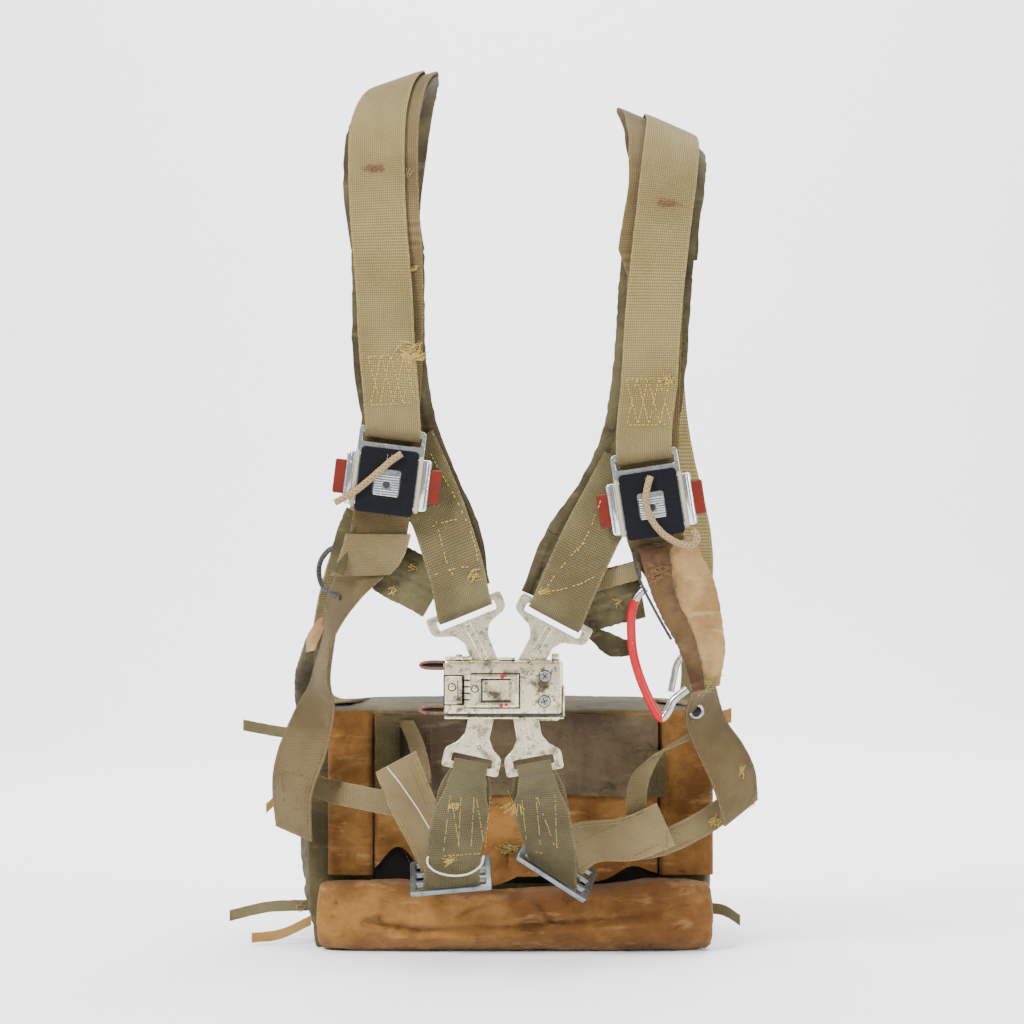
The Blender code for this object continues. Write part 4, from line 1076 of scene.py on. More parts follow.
        def front_at(u: float, v: float) -> Vector:
            x = left + wide * v
            z = top + (low(x) - top) * u
            near = min(v, 1 - v) * wide
            roll = 1 - math.sqrt(max(0.0, 1 - (1 - min(near / 4.0, 1.0)) ** 2))
            y = back - 1.4 - (thickness - 1.4) * (1 - 0.9 * roll)
            y -= bulge * math.sin(math.pi * u) * math.sin(math.pi * v)
            y -= open_low * u ** 8 * (0.5 + 0.5 * math.sin(x * 0.09))
            p = Vector((x, y, z))
            y += sum(fold.dent(x, z) for fold in folds) * 0.8
            y += 0.9 * ridged(p, (40, 30, 16)) - 0.6 * rough(p, 20.0) + 0.5 * ridged(p, (13, 30, 24))
            return Vector((x, min(y, back - 1.35), z))

        def both_faces(u: float, v: float) -> tuple[Vector, Vector]:
            p = front_at(u, v)
            return p, p + Vector((0, 1.1, 0))

        tall = top - low((left + right) / 2)
        bm = sheet_mesh(round(tall / 1.7), round(wide / 1.7), both_faces, (tall, wide))
        piece = dress(name + "_canvas", bm, Finish.CANVAS, "canvas", (name,))
        return piece

    def front_covers(self) -> None:
        """The three ochre covers."""
        tuck = self.band_top + 5.6
        self.cover("cover_left", -141.0, -104.5, 7.0, lambda x: tuck, 192.0, 1.5, (Fold(-128, 150, -106, 156, 1.4, 3),))
        self.cover("cover_right", 126.5, 170.0, 7.0, lambda x: tuck, 192.0, 1.5, (Fold(130, 120, 150, 96, 1.6, 4),))

        def middle_low(x: float) -> float:
            openings = 24.0 * swell(x, -84, 17) + 9.0 * swell(x, 22, 20) + 9.0 * swell(x, 104, 15)
            return self.band_top + 1.4 + self.band_rise(x) + openings

        self.cover("cover_middle", -103.5, 125.5, 5.0, middle_low, 190.0, 1.0, self.middle_folds, 1.5)

    def lining(self) -> bpy.types.Object:
        """Painted shade in the openings under the middle cover: a near-black sheet behind them."""
        y = self.front - 0.2

        def both_faces(u: float, v: float) -> tuple[Vector, Vector]:
            p = Vector((-104.0 + 230.0 * v, y - 0.6 - 0.3 * math.sin(v * 40), 100.0 - 48.0 * u))
            return p, Vector((p.x, y - 0.15, p.z))

        piece = dress("opening_lining", sheet_mesh(12, 60, both_faces, (48, 230)), Finish.LINING, "olive_cloth")
        return piece

    def flap(self) -> bpy.types.Object:
        """The thin brown flap that hangs over the middle cover in soft upright folds."""
        front = self.front - self.seat_gap - 5.0
        seams = (-58.5, 60.0, 122.9)

        def both_faces(u: float, v: float) -> tuple[Vector, Vector]:
            x = -96.0 + 221.0 * v
            z = 189.0 - 65.0 * u + 1.2 * math.sin(x * 0.05)
            y = front - 1.6 - 1.5 * (0.3 + u) * (1 + math.sin(x * 0.11 + 0.9 * math.sin(x * 0.05)))
            y -= 0.9 * (0.3 + u) * (1 + math.sin(x * 0.31 + z * 0.03)) * 0.5
            y -= sum((1.9 * u + 0.9) * swell(x, s, 2.4) for s in seams)
            y += 1.1 * ridged(Vector((x, y, z)), (11, 20, 34)) + 0.8 * ridged(Vector((x + 70, y, z)), (30, 20, 12))
            y = min(max(y, front - 6.9), front - 0.9)
            return Vector((x, y - 0.8, z)), Vector((x, y, z))

        piece = dress("hanging_flap_cloth", sheet_mesh(34, 130, both_faces, (65, 221)), Finish.FLAP, "satin", ("hanging_flap",))
        return piece

    def ties(self) -> None:
        """The flat tie ends out of the sides."""
        for tie in TIES:
            left = tie.points[0][0] < 0
            sign = -1 if left else 1
            deep = (tie.points[0][1] - self.front) / (self.back - self.front) * 2 - 1
            heights = [(tie.points[0][2] + h) / self.top * 2 - 1 for h in (-tie.width / 2, 0, tie.width / 2)]
            wall = max(self.side(sign, deep, h) * sign for h in heights) - 1.0
            points = ((sign * wall, *tie.points[0][1:]),) + tie.points[1:]
            rows = [(x, y, z, 90 if left else -90, 0) for x, y, z in points]
            finish = Finish.TIE if tie.slot == "olive_webbing" else Finish.TAN_TIE
            strap = Strap(
                tie.name + "_tape", frames_through(rows, 3), finish, tie.slot, tie.width, 1.2, 6, 0.2, 0.5, 0.3,
                (tie.name,),
            )
            strap.build()

    def olive_strips(self) -> None:
        """The two upright olive strips and the small ochre tab on the front."""
        front = self.front - self.seat_gap - 5.0
        for name, left, right, high, low, finish, slot in (
            ("strip_left", -101.7, -82.4, 188.0, 125.0, Finish.OLIVE, "olive_cloth"),
            ("strip_right", 116.0, 131.0, 160.0, 122.9, Finish.OLIVE, "olive_cloth"),
            ("small_tab", 5.0, 34.0, 78.0, 58.5, Finish.CANVAS, "canvas"),
        ):
            rounded_end = name == "small_tab"

            def both_faces(u: float, v: float) -> tuple[Vector, Vector]:
                narrow = 1 - (0.35 * max(0.0, u - 0.5) ** 2 * 4 if rounded_end else 0.0)
                x = (left + right) / 2 + (right - left) * (v - 0.5) * narrow
                z = high + (low - high) * u
                lift = 3.6 if rounded_end else (6.6 if name == "strip_left" else 7.4)
                y = front - lift - 0.8 * math.sin(math.pi * v) + 0.5 * math.sin(z * 0.16 + x * 0.1)
                return Vector((x, y - 1.0, z)), Vector((x, y, z))

            piece = dress(name, sheet_mesh(24, 10, both_faces, (high - low, right - left)), finish, slot)

    def build(self) -> None:
        """All of the pack's pieces."""
        self.body()
        self.band()
        self.front_covers()
        self.lining()
        self.flap()
        self.ties()
        self.olive_strips()


@dataclass(frozen=True)
class TieSize:
    """A tie end's tape."""

    name: str
    slot: str
    width: float
    points: tuple[Point, ...]


@dataclass(frozen=True)
class SideSize:
    """The lines and widths of one side's webbing."""

    tag: str
    riser: tuple[Row, ...]
    web: tuple[Row, ...]
    pad: tuple[Row, ...]
    pad_width: Knots
    chest: tuple[Row, ...]
    quilt: tuple[Row, ...]
    quilt_width: float
    inboard: int
    under: tuple[tuple[int, float], ...]
    padded: tuple[tuple[int, float], ...]
    cord: tuple[Point, ...]
    tab: tuple[Row, ...]
    tab_width: Knots
    wide: tuple[Row, ...]
    wide_width: float
    band: tuple[Row, ...]
    band_width: float
    arc: tuple[Row, ...]
    arc_width: float


TIES = (
    TieSize("tie_left_upper", "olive_webbing", 9.0, ((-160.0, 60, 170), (-186, 59, 174), (-211, 57, 179))),
    TieSize("tie_left_middle", "canvas", 8.0, ((-161.5, 80, 122), (-180, 79, 120), (-194, 78, 109))),
    TieSize("tie_left_lower", "olive_webbing", 9.0, ((-158.0, 60, 32), (-190, 58, 31), (-222, 56, 24))),
    TieSize("tie_left_foot", "canvas", 8.0, ((-158.0, 60, 20), (-180, 58, 9), (-204, 56, 6))),
    TieSize("tie_right_lower", "olive_webbing", 9.0, ((165.0, 60, 30), (180, 58, 28), (193, 56, 20))),
    TieSize("tie_right_upper", "canvas", 12.0, ((167.0, 60, 182), (176, 58, 184), (186, 56, 187))),
)

POCKET = (
    (155, -94, 217, 10, 0), (153, -97, 240, 12, 0), (147, -100, 263, 14, 0), (138, -104, 292, 14, 0),
    (130, -109.2, 314, 12, 0), (126, -112.2, 329, 8, 0),
)
GRIP = (
    (109, -105.5, 294), (102, -104.5, 286), (99, -103.5, 276), (98.5, -101, 262), (100, -98.5, 245),
    (104.5, -96, 228), (111, -95, 212), (117.5, -95, 199.5), (122, -95, 194.5), (126.5, -95, 199),
    (131, -94.8, 208), (141.5, -94.2, 216.5),
)
GATE = ((129.2, -95, 214.6), (130.3, -95, 221), (131.5, -95, 226), (132.5, -95, 232), (135, -95.5, 238), (139, -96.5, 243.5))

LEFT = SideSize(
    tag="left",
    riser=(
        (-82.4, -117.5, 412.7, -7, 0), (-84, -114.5, 437, -4, 0), (-88, -107, 483, 0, 0),
        (-90, -100, 521, 0, 0), (-95, -88, 576, 2, 0), (-97, -74, 624, 5, 0), (-96, -58, 656, 10, -4),
        (-90, -34, 681, 16, -8), (-82, 0, 694, 17, -8), (-86, 34, 683, 10, 0), (-93, 62, 648, 2, 0),
        (-100, 84, 590, 0, 0), (-97, 96, 510, 0, 0), (-94, 102, 430, 0, 0), (-100, 103, 370, 0, 14),
        (-124, 102, 318, 0, 42), (-142, 100, 272, 0, 64), (-149, 98, 226, 0, 70), (-149.5, 98, 205, 0, 70),
        (-145, 96.5, 198.8, 0, 70), (-134, 92.5, 197.6, 0, 70), (-118, 86.7, 198.6, 0, 70),
    ),
    web=(
        (-166, 4, 96, -12, -45), (-167, -2, 131, -8, -40), (-158, -12, 164, 0, -25),
        (-148, -25, 196, 5, -40), (-144, -38, 220, 5, -70), (-137, -55, 252, 5, -72),
        (-122, -80, 284, 5, -50), (-101, -101, 315, 0, -10), (-92, -109.4, 346, 0, 0),
        (-90, -109.6, 375, 0, 0), (-86, -108.3, 410, 0, 0), (-83, -104.3, 450, 0, 0),
        (-82, -98.6, 500, 0, 0), (-83, -89.8, 553, 2, 0),
    ),
    pad=(
        (-28, -104.5, 291, 20, 0), (-38, -102.4, 331, 22, 0), (-59, -101.2, 376, 22, 0),
        (-78, -100.4, 422, 12, 0), (-86, -97.0, 470, 4, 0), (-87, -90.2, 520, 2, 0), (-88, -84.4, 556, 2, 0),
    ),
    pad_width=[(0.0, 40.0), (0.12, 48.0), (0.3, 56.0), (1.0, 58.0)],
    chest=(
        (-29.0, -114.0, 279.0, 22, 0), (-35, -111.0, 308, 22, 0), (-47, -105.8, 346, 24, 0),
        (-59, -104.9, 376, 26, 0), (-72, -104.0, 405, 26, 0),
    ),
    quilt=(
        (-89, -92.2, 311, 60, 0), (-77, -94.6, 304, 60, 0), (-64, -97.0, 298, 60, 0),
        (-50, -98.5, 290, 60, 0),
    ),
    quilt_width=42.0,
    inboard=1,
    under=((0, 10.0), (57, 10.0)),
    padded=((0, 2.0), (57, 2.0)),
    cord=((-75.6, -129.2, 396), (-83, -129.6, 391), (-91, -129.6, 384), (-99.7, -129.4, 376.5),
          (-111, -129.2, 367.5), (-126, -128.6, 359)),
    tab=((-40.3, -30.0, 62.0, 5, 0), (-38, -48, 88, 2, 0), (-31, -80, 122, -6, 0),
         (-24.3, -114.0, 157.6, -12.5, 0)),
    tab_width=[(0.0, 43.0), (0.25, 44.0), (0.42, 43.0), (0.5, 30.0), (0.54, 26.0), (0.72, 26.0), (0.8, 42.0),
               (1.0, 43.0)],
    wide=((-47.4, -3.7, 73.7, 5, 0), (-58, -12, 96, 12, 0), (-72, -17, 124, 22, 0), (-84, -19, 155, 28, 0)),
    wide_width=36.0,
    band=((-150, 8, 134, 90, 0), (-133, 4, 129, 90, 0), (-105, -6, 124, 90, 0), (-84, -12.6, 121, 84, 0)),
    band_width=19.0,
    arc=((-62, -8, 118, 0, 0), (-64, 8, 146, 0, 0), (-70, 24, 168, 0, 0), (-78, 31.7, 184, 0, 0)),
    arc_width=13.0,
)
RIGHT = SideSize(
    tag="right",
    riser=(
        (107.3, -117.5, 395.6, 8.7, 0), (108, -114.5, 416, 5, 0), (112, -108.5, 452, 0, 0),
        (115, -101, 498, 0, 0), (121, -90, 553, -2, 0), (127, -77, 600, -6, 0), (131, -58, 632, -12, 4),
        (133, -30, 650, -20, 8), (132, 2, 658, -22, 8), (131, 34, 648, -14, 0), (132, 60, 612, -4, 0),
        (130, 80, 552, 0, 0), (127, 88, 475, 0, 0), (133, 90, 410, 0, -6), (150, 92, 335, 0, -22),
        (156, 95, 278, 0, -52), (155.5, 98, 232, 0, -68), (155, 98, 206, 0, -68), (151, 96.4, 198.8, 0, -68),
        (140, 92, 197.7, 0, -68), (124, 85.5, 198.7, 0, -68),
    ),
    web=(
        (190, 6, 112, 25, 45), (184, -2, 140, 15, 35), (171, -12, 168, 0, 25), (160, -25, 190, -5, 40),
        (158, -40, 215, -5, 62), (152, -56, 247, -5, 62), (141, -76, 280, -5, 40), (128, -97, 306, -2, 12),
        (117, -108.6, 330, 0, 0), (113, -109.6, 358, 0, 0), (112, -108.3, 396, 0, 0),
        (114, -104.2, 440, 0, 0), (116, -97.6, 490, 0, 0), (118, -90.6, 533, -2, 0),
    ),
    pad=(
        (33, -104.5, 284, -24, 0), (52, -102.4, 324, -26, 0), (82, -101.2, 366, -26, 0),
        (103, -100.4, 408, -14, 0), (112, -97.2, 456, -4, 0), (116, -90.6, 504, -2, 0),
        (118, -86.0, 533, -2, 0),
    ),
    pad_width=[(0.0, 40.0), (0.12, 48.0), (0.3, 56.0), (1.0, 58.0)],
    chest=(
        (41.5, -114.0, 274.8, -28, 0), (53, -111.0, 302, -26, 0), (68, -105.8, 334, -26, 0),
        (83, -104.9, 362, -28, 0), (97, -104.0, 388, -28, 0),
    ),
    quilt=(
        (106, -93.0, 293, 100, 0), (94, -95.0, 290, 100, 0), (78, -96.5, 286, 100, 0),
        (58, -98.5, 280, 100, 0),
    ),
    quilt_width=44.0,
    inboard=-1,
    under=((0, 10.0), (12, 10.0), (15, 8.0), (18, 11.0), (21, 16.0), (24, 22.0), (27, 11.0), (30, 3.0),
           (33, 0.0)),
    padded=((0, 2.0), (12, 2.0), (15, -1.0), (21, -2.0), (24, 0.0), (33, 0.0)),
    cord=((112, -129.2, 379), (109.5, -129.6, 370), (108.4, -129.6, 360), (112.5, -129.8, 347),
          (121, -129.9, 336), (133, -128.6, 328.5), (143, -126.5, 327), (147.5, -125.5, 332),
          (144, -124.8, 338.5)),
    tab=((41.1, -30.0, 70.2, -33, 0), (37, -48, 92, -16, 0), (30, -80, 124, -2, 0),
         (25.0, -114.0, 156.6, 10, 0)),
    tab_width=[(0.0, 43.0), (0.25, 44.0), (0.42, 43.0), (0.5, 30.0), (0.54, 26.0), (0.72, 26.0), (0.8, 42.0),
               (1.0, 43.0)],
    wide=((51.1, -3.7, 78.3, -33, 0), (67.6, -9, 90.2, -55, 0), (100, -17, 94, -66, 0),
          (129, -19, 106, -66, 0)),
    wide_width=36.0,
    band=((186, 10, 122, 118, 0), (160, 6, 104, 116, 0), (128, -6, 90, 110, 0), (104, -12.6, 86, 108, 0)),
    band_width=20.0,
    arc=((106, -12.6, 102, 0, 0), (108, -9, 138, 0, 0), (124, -8, 161, 30, 0), (152, -21, 177, 40, 0)),
    arc_width=16.0,
)


@dataclass
class Shoulder:
    """One side's riser, main web, pad, chest web and quilt."""

    size: SideSize

    def edge_stitch(
        self, name: str, strap: Strap, offsets: Sequence[float], low: float, high: float, finish: Finish = Finish.THREAD,
        seed: int = 2,
    ) -> None:
        """Rows of stitches along a strap."""
        lines = []
        for across in offsets:
            lines.append([strap.surface(low + (high - low) * k / 80, across, 0.2) for k in range(81)])
        Stitching(name, lines, strap.slot, finish, 3.0, 0.32, 0.2, seed).build()

    def build(self) -> None:
        """The side's webbing, pad and stitching."""
        s, tag = self.size, self.size.tag
        riser_line = frames_through(s.riser)
        riser = Strap(
            f"riser_{tag}_webbing", round_bar(riser_line, 4.7, 1.4, 5, 3), Finish.RISER, "webbing",
            [(0.0, 42.0), (0.3, 43.0), (0.4, 44.0), (1.0, 44.0)],
        )
        riser.build()
        last = (len(riser_line) - 1) // FINE
        under = moved(riser_line, [(i / last, s.inboard * shift) for i, shift in s.under], -LAYER)
        web_line = frames_through(s.web)
        web = Strap(f"main_web_{tag}_webbing", web_line + under[12 * FINE:34 * FINE], Finish.HIP, "webbing")
        web.build()
        pad_line = frames_through(s.pad)
        padded = [(i / last, s.inboard * shift) for i, shift in s.padded]
        over = moved(riser_line, padded, -LAYER - WEB / 2 - GAP - PAD / 2)
        Strap(
            f"shoulder_pad_{tag}_cloth", pad_line + over[13 * FINE:33 * FINE], Finish.PADDING, "padding", s.pad_width, PAD,
            30, 0.5, 3.4, 0.9, (f"shoulder_pad_{tag}",), 0.5, 5,
        ).build()
        chest_line = frames_through(s.chest)
        chest = Strap(
            f"chest_web_{tag}_webbing", round_bar(chest_line, 4.4, 1.4, 4, 2), Finish.WEB, "olive_webbing", 43.0,
        )
        chest.build()
        Strap(
            f"quilt_{tag}_cloth", frames_through(s.quilt, 6), Finish.QUILTING, "padding", s.quilt_width, 4.6, 34, 0.5,
            3.4, 0.6, (f"quilt_{tag}",), 0.7, 6,
        ).build()
        self.edge_stitch(f"main_web_{tag}_rows", web, (-0.86, 0.86), 0.02, 0.3, Finish.BROWN_THREAD, 5)


@dataclass
class Legs:
    """One side's tab under the lock, wide leg strap, narrow band and arc."""

    size: SideSize

    def build(self) -> None:
        """The side's straps."""
        s, tag = self.size, self.size.tag
        tab = Strap(
            f"tab_{tag}_webbing", closed_loop(frames_through(s.tab, 4), 4.7, 1.4, 4), Finish.TAB, "olive_webbing",
            s.tab_width,
        )
        tab.build()
        wide_line = frames_through(s.wide, 4)
        wide = Strap(
            f"leg_strap_{tag}_webbing", round_bar(wide_line, 5.2, 1.4, (len(wide_line) - 1) // FINE, 4), Finish.STRAP,
            "olive_webbing", s.wide_width,
        )
        wide.build()
        band = Strap(
            f"leg_band_{tag}_webbing", frames_through(s.band, 4), Finish.BAND, "olive_webbing", s.band_width,
        )
        band.build()
        arc = Strap(
            f"leg_arc_{tag}_webbing", frames_through(s.arc, 4), Finish.BAND, "olive_webbing", s.arc_width,
        )
        arc.build()
        sewing = Shoulder(s)
        sewing.edge_stitch(f"leg_strap_{tag}_rows", wide, (-0.82, 0.82), 0.56, 0.98, seed=8)
        sewing.edge_stitch(f"leg_band_{tag}_rows", band, (-0.7, 0.7), 0.03, 0.97, Finish.BROWN_THREAD, 9)


@dataclass
class HipGear:
    """The keeper on the left hip web and the right side's gathered pocket with its red grip."""

    def build(self) -> None:
        """The keeper, the pocket and the grip."""
        hip = frames_through(LEFT.web)
        Strap(
            "keeper_left_webbing", moved(hip, 0.0, LAYER + 0.25)[20 * FINE:23 * FINE + 1], Finish.BAND, "olive_webbing",
            50.0, nodes=("keeper_left",),
        ).build()
        self.pocket()
        self.grip()
        self.left_folds()
        self.right_folds()

    def pocket(self) -> None:
        """The pocket's flat panel and the gathered tube along its inner edge."""
        line = frames_through(POCKET, 6)
        panel = moved(line, [(0.0, 3.0), (0.5, 5.0), (1.0, 4.0)], -1.0)
        Strap(
            "pocket_right_panel", panel, Finish.POCKET, "pocket_cloth", [(0.0, 18.0), (0.3, 32.0), (0.6, 40.0), (1.0, 32.0)],
            [(0.0, 4.0), (0.4, 7.0), (1.0, 3.0)], 34, 0.5, 2.2, 0.6, ("pocket_right",), 0.4,
        ).build()
        tube = moved(line, [(0.0, -5.0), (0.3, -9.0), (0.6, -15.0), (0.85, -12.0), (1.0, -10.0)], 2.0)
        Strap(
            "pocket_gathered_edge", tube, Finish.GATHERED, "pocket_cloth", [(0.0, 10.0), (0.5, 17.0), (0.9, 22.0), (1.0, 32.0)],
            [(0.0, 5.0), (0.4, 9.0), (0.8, 9.0), (1.0, 4.0)], 26, 0.7, 3.2, 0.8, ("pocket_right",), 0.6,
        ).build()

    def grip(self) -> None:
        """The bent steel grip, its middle painted red, and its gate."""
        rod_piece("grip_right_rod", GRIP, 3.2, Finish.STEEL_PALE, "steel", ("grip_right",), 24)
        painted = [Vector(p) for p in blend_rows(GRIP, 8)][9:66]
        bm = bmesh.new()
        sweep(bm, [row(p) for p in painted], lambda share: 3.5 * MM * (1 - 0.04 * (share > 0.995)), 24)
        bmesh.ops.recalc_face_normals(bm, faces=bm.faces)
        dress("grip_paint", bm, Finish.GRIP, "red_paint")
        rod_piece("grip_gate_rod", GATE, 2.6, Finish.STEEL_PALE, "steel", ("grip_gate",), 20)

    def left_folds(self) -> None:
        """The loose cloth by the left hip web: a fold over the keeper, a rolled pad end, a tan scrap and a dark loop."""
        fold = frames_through(((-112, -107.5, 352, -30, -20), (-121, -104, 332, -28, -30), (-127, -97, 306, -20, -30)), 8)
        Strap("hip_fold_left", fold, Finish.OLIVE, "olive_webbing", 15.0, 1.6, 10, 0.4, 1.6, 0.5, nodes=("keeper_left",)).build()
        roll = frames_through((
            (-158, 40, 193, -8, 10), (-159, 22, 205, -6, 10), (-157, -4, 226, -4, 5), (-150, -30, 252, 5, -10),
        ), 8)
        Strap(
            "rolled_pad_left", roll, Finish.QUILTING, "padding", [(0.0, 17.0), (0.5, 15.0), (1.0, 10.0)], 9.0, 20, 0.8,
            2.6, 0.6, ("shoulder_pad_left",), 0.5,
        ).build()
        scrap = frames_through(((-150, -36, 243, 10, -50), (-146, -42, 257, 8, -50), (-139, -48, 270, 5, -50)), 8)
        Strap(
            "tan_scrap_left", scrap, Finish.POCKET, "pocket_cloth", [(0.0, 12.0), (0.5, 20.0), (1.0, 11.0)], 1.2, 14, 0.4,
            1.6, 0.6, nodes=("keeper_left",),
        ).build()
        loop = ((-124, -84, 326), (-133, -74, 323), (-140, -66, 315), (-142.2, -62, 305), (-139, -64, 294.6),
                (-132, -72, 290), (-124, -80, 286))
        rod_piece("dark_loop_left", loop, 2.1, Finish.DARK_CABLE, "olive_webbing", (), 12)

    def right_folds(self) -> None:
        """The loose cloth by the right quilt: a loop of web over it and a tail under it."""
        cable = ((98.7, -111.5, 323.2), (104.8, -110, 300.4), (116.1, -106.5, 277.6), (129.0, -101, 254.8))
        rod_piece("thin_cable_right", cable, 1.1, Finish.DARK_CABLE, "steel", (), 10)
        loop = frames_through(((64, -100.5, 296, 86, 0), (84, -102, 302, 92, 0), (106, -104, 308, 96, 0)), 8)
        Strap("hip_loop_right", loop, Finish.BAND, "olive_webbing", 14.0, 2.4, 10, 0.5, 1.0, 0.4, nodes=("quilt_right",)).build()
        tail = frames_through(((64, -96, 262, 84, 0), (82, -95, 251, 90, 0), (103, -92, 247, 100, 0)), 8)
        Strap(
            "quilt_tail_right", tail, Finish.QUILTING, "padding", [(0.0, 8.0), (0.5, 18.0), (1.0, 9.0)], 4.0, 16, 0.5, 2.0,
            0.6, ("quilt_right",), 0.4,
        ).build()


@dataclass
class PullCord:
    """A release's pull cord."""

    size: SideSize
    radius: float = 2.6

    def build(self) -> None:
        """The cord."""
        line = smooth_line(self.size.cord, 6)
        bm = bmesh.new()
        sweep(bm, line, lambda share: self.radius * MM, 14)
        bmesh.ops.recalc_face_normals(bm, faces=bm.faces)
        node = f"release_{self.size.tag}_cord"
        piece = dress(node + "_braid", bm, Finish.CORD, "cord", (node,), NODE_BODY[node])


@dataclass(frozen=True)
class Softening:
    """How a hard CAD node is rounded and finished."""

    node: str
    finish: Finish
    slot: str
    edge: float = 0.6


class Hardware:
    """The lock, the releases, the lugs and the adaptors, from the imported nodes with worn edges."""

    def table(self) -> list[Softening]:
        """Every hard node with its finish."""
        rows = [
            Softening("lock_body", Finish.LOCK, "cast_metal", 0.9),
            Softening("lock_lever", Finish.LUG, "cast_metal", 0.5),
            Softening("lock_screw_upper", Finish.STEEL_PALE, "steel", 0.5),
            Softening("lock_screw_lower", Finish.STEEL_PALE, "steel", 0.5),
            Softening("lock_pin_upper", Finish.SHELL, "steel", 0.6),
            Softening("lock_pin_lower", Finish.SHELL, "steel", 0.6),
        ]
        rows += [Softening("lug_" + tag, Finish.LUG, "cast_metal", 0.7)
                 for tag in ("upper_left", "upper_right", "lower_left", "lower_right")]
        for tag in ("left", "right"):
            rows += [
                Softening(f"release_{tag}_body", Finish.CHROME, "chrome", 0.7),
                Softening(f"release_{tag}_cover", Finish.SHELL, "black_shell", 0.6),
                # The slider body takes the darker steel under chrome ribs: the gaps between the ribs are painted shade.
                Softening(f"release_{tag}_slider", Finish.STEEL, "chrome", 0.3),
                Softening(f"release_{tag}_yoke", Finish.CHROME, "chrome", 0.7),
                Softening(f"release_{tag}_button_outer", Finish.BUTTON, "red_paint", 0.6),
                Softening(f"release_{tag}_button_inner", Finish.BUTTON, "red_paint", 0.6),
                Softening(f"adaptor_{tag}", Finish.STEEL, "steel", 0.9),
            ]
        return rows

    def soften(self, spec: Softening) -> bpy.types.Object:
        """A node's copy with rounded edges, on the node's own body."""
        bm = bmesh.new()
        bm.from_mesh(frame["nodes"][spec.node].data)
        bmesh.ops.remove_doubles(bm, verts=bm.verts, dist=2e-6)
        bmesh.ops.dissolve_limit(
            bm, angle_limit=math.radians(1.0), use_dissolve_boundaries=False, verts=bm.verts, edges=bm.edges
        )
        bmesh.ops.recalc_face_normals(bm, faces=bm.faces)
        corners = [e for e in bm.edges if len(e.link_faces) == 2 and e.calc_face_angle(0.0) > math.radians(28)]
        bmesh.ops.bevel(
            bm, geom=corners, offset=spec.edge * MM, offset_type="OFFSET", segments=2, profile=0.5, affect="EDGES",
            clamp_overlap=True, material=-1,
        )
        piece = dress(spec.node + "_worn", bm, spec.finish, spec.slot, (spec.node,), NODE_BODY[spec.node], 50.0)
        weighted = piece.modifiers.new("Flat faces", "WEIGHTED_NORMAL")
        weighted.keep_sharp = True
        return piece

    def build(self) -> None:
        """Every hard node."""
        for spec in self.table():
            self.soften(spec)


class Sight:
    """Sight lines from the camera through the picture's 1024 pixel frame."""

    def __init__(self) -> None:
        """Takes the scene as it is now."""
        bpy.context.view_layer.update()
        self.graph = bpy.context.evaluated_depsgraph_get()
        self.eye = Vector(Studio.camera)

    def hit(self, px: float, py: float, lift: float = 0.35) -> Vector | None:
        """The first surface seen through a pixel.

        Args:
            px: The pixel across.
            py: The pixel down.
            lift: How far in front of the surface, in mm.

        Returns:
            The point in mm of the maker's frame, or None past the object.
        """
        way = Vector(((px - 512) / 3158, 1.0, (512 - py) / 3158)).normalized()
        found, place, _, _, seen, _ = bpy.context.scene.ray_cast(self.graph, self.eye, way)
        if not found or seen.name == "floor":
            return None
        return (place - way * lift * MM) / MM + ORIGIN

    def lines(self, routes: Sequence[Sequence[tuple[float, float]]], lift: float = 0.35) -> list[list[Vector]]:
        """Routes of pixels laid on what is seen there."""
        out = []
        for route in routes:
            line = []
            for (x0, y0), (x1, y1) in zip(route, route[1:]):
                count = max(1, round(math.hypot(x1 - x0, y1 - y0) / 4.4))
                for k in range(count):
                    spot = self.hit(x0 + (x1 - x0) * k / count, y0 + (y1 - y0) * k / count, lift)
                    if spot is not None:
                        if line and (spot - line[-1]).length > 8:
                            out.append(line)
                            line = []
                        line.append(spot)
            if len(line) > 1:
                out.append(line)
        return [line for line in out if len(line) > 1]


def zigzag(left: float, right: float, high: float, low: float, turns: int, lean: float = 0.0) -> list[tuple[float, float]]:
    """A zigzag of pixels from left to right between two heights."""
    out = []
    for k in range(turns + 1):
        x = left + (right - left) * k / turns
        out.append((x + (lean if k % 2 else 0.0), low if k % 2 else high))
    return out


@dataclass(frozen=True)
class StitchSet:
    """Stitch routes in pixels, one piece."""

    name: str
    slot: str
    finish: Finish
    routes: tuple[tuple[tuple[float, float], ...], ...]
    radius: float = 0.42
    missing: float = 0.12


@dataclass(frozen=True)
class TuftSpot:
    """A frayed tuft at a pixel."""

    name: str
    px: float
    py: float
    spread: tuple[float, float]
    strands: int
    finish: Finish
    lean: float = 0.0
    slot: str = "olive_webbing"


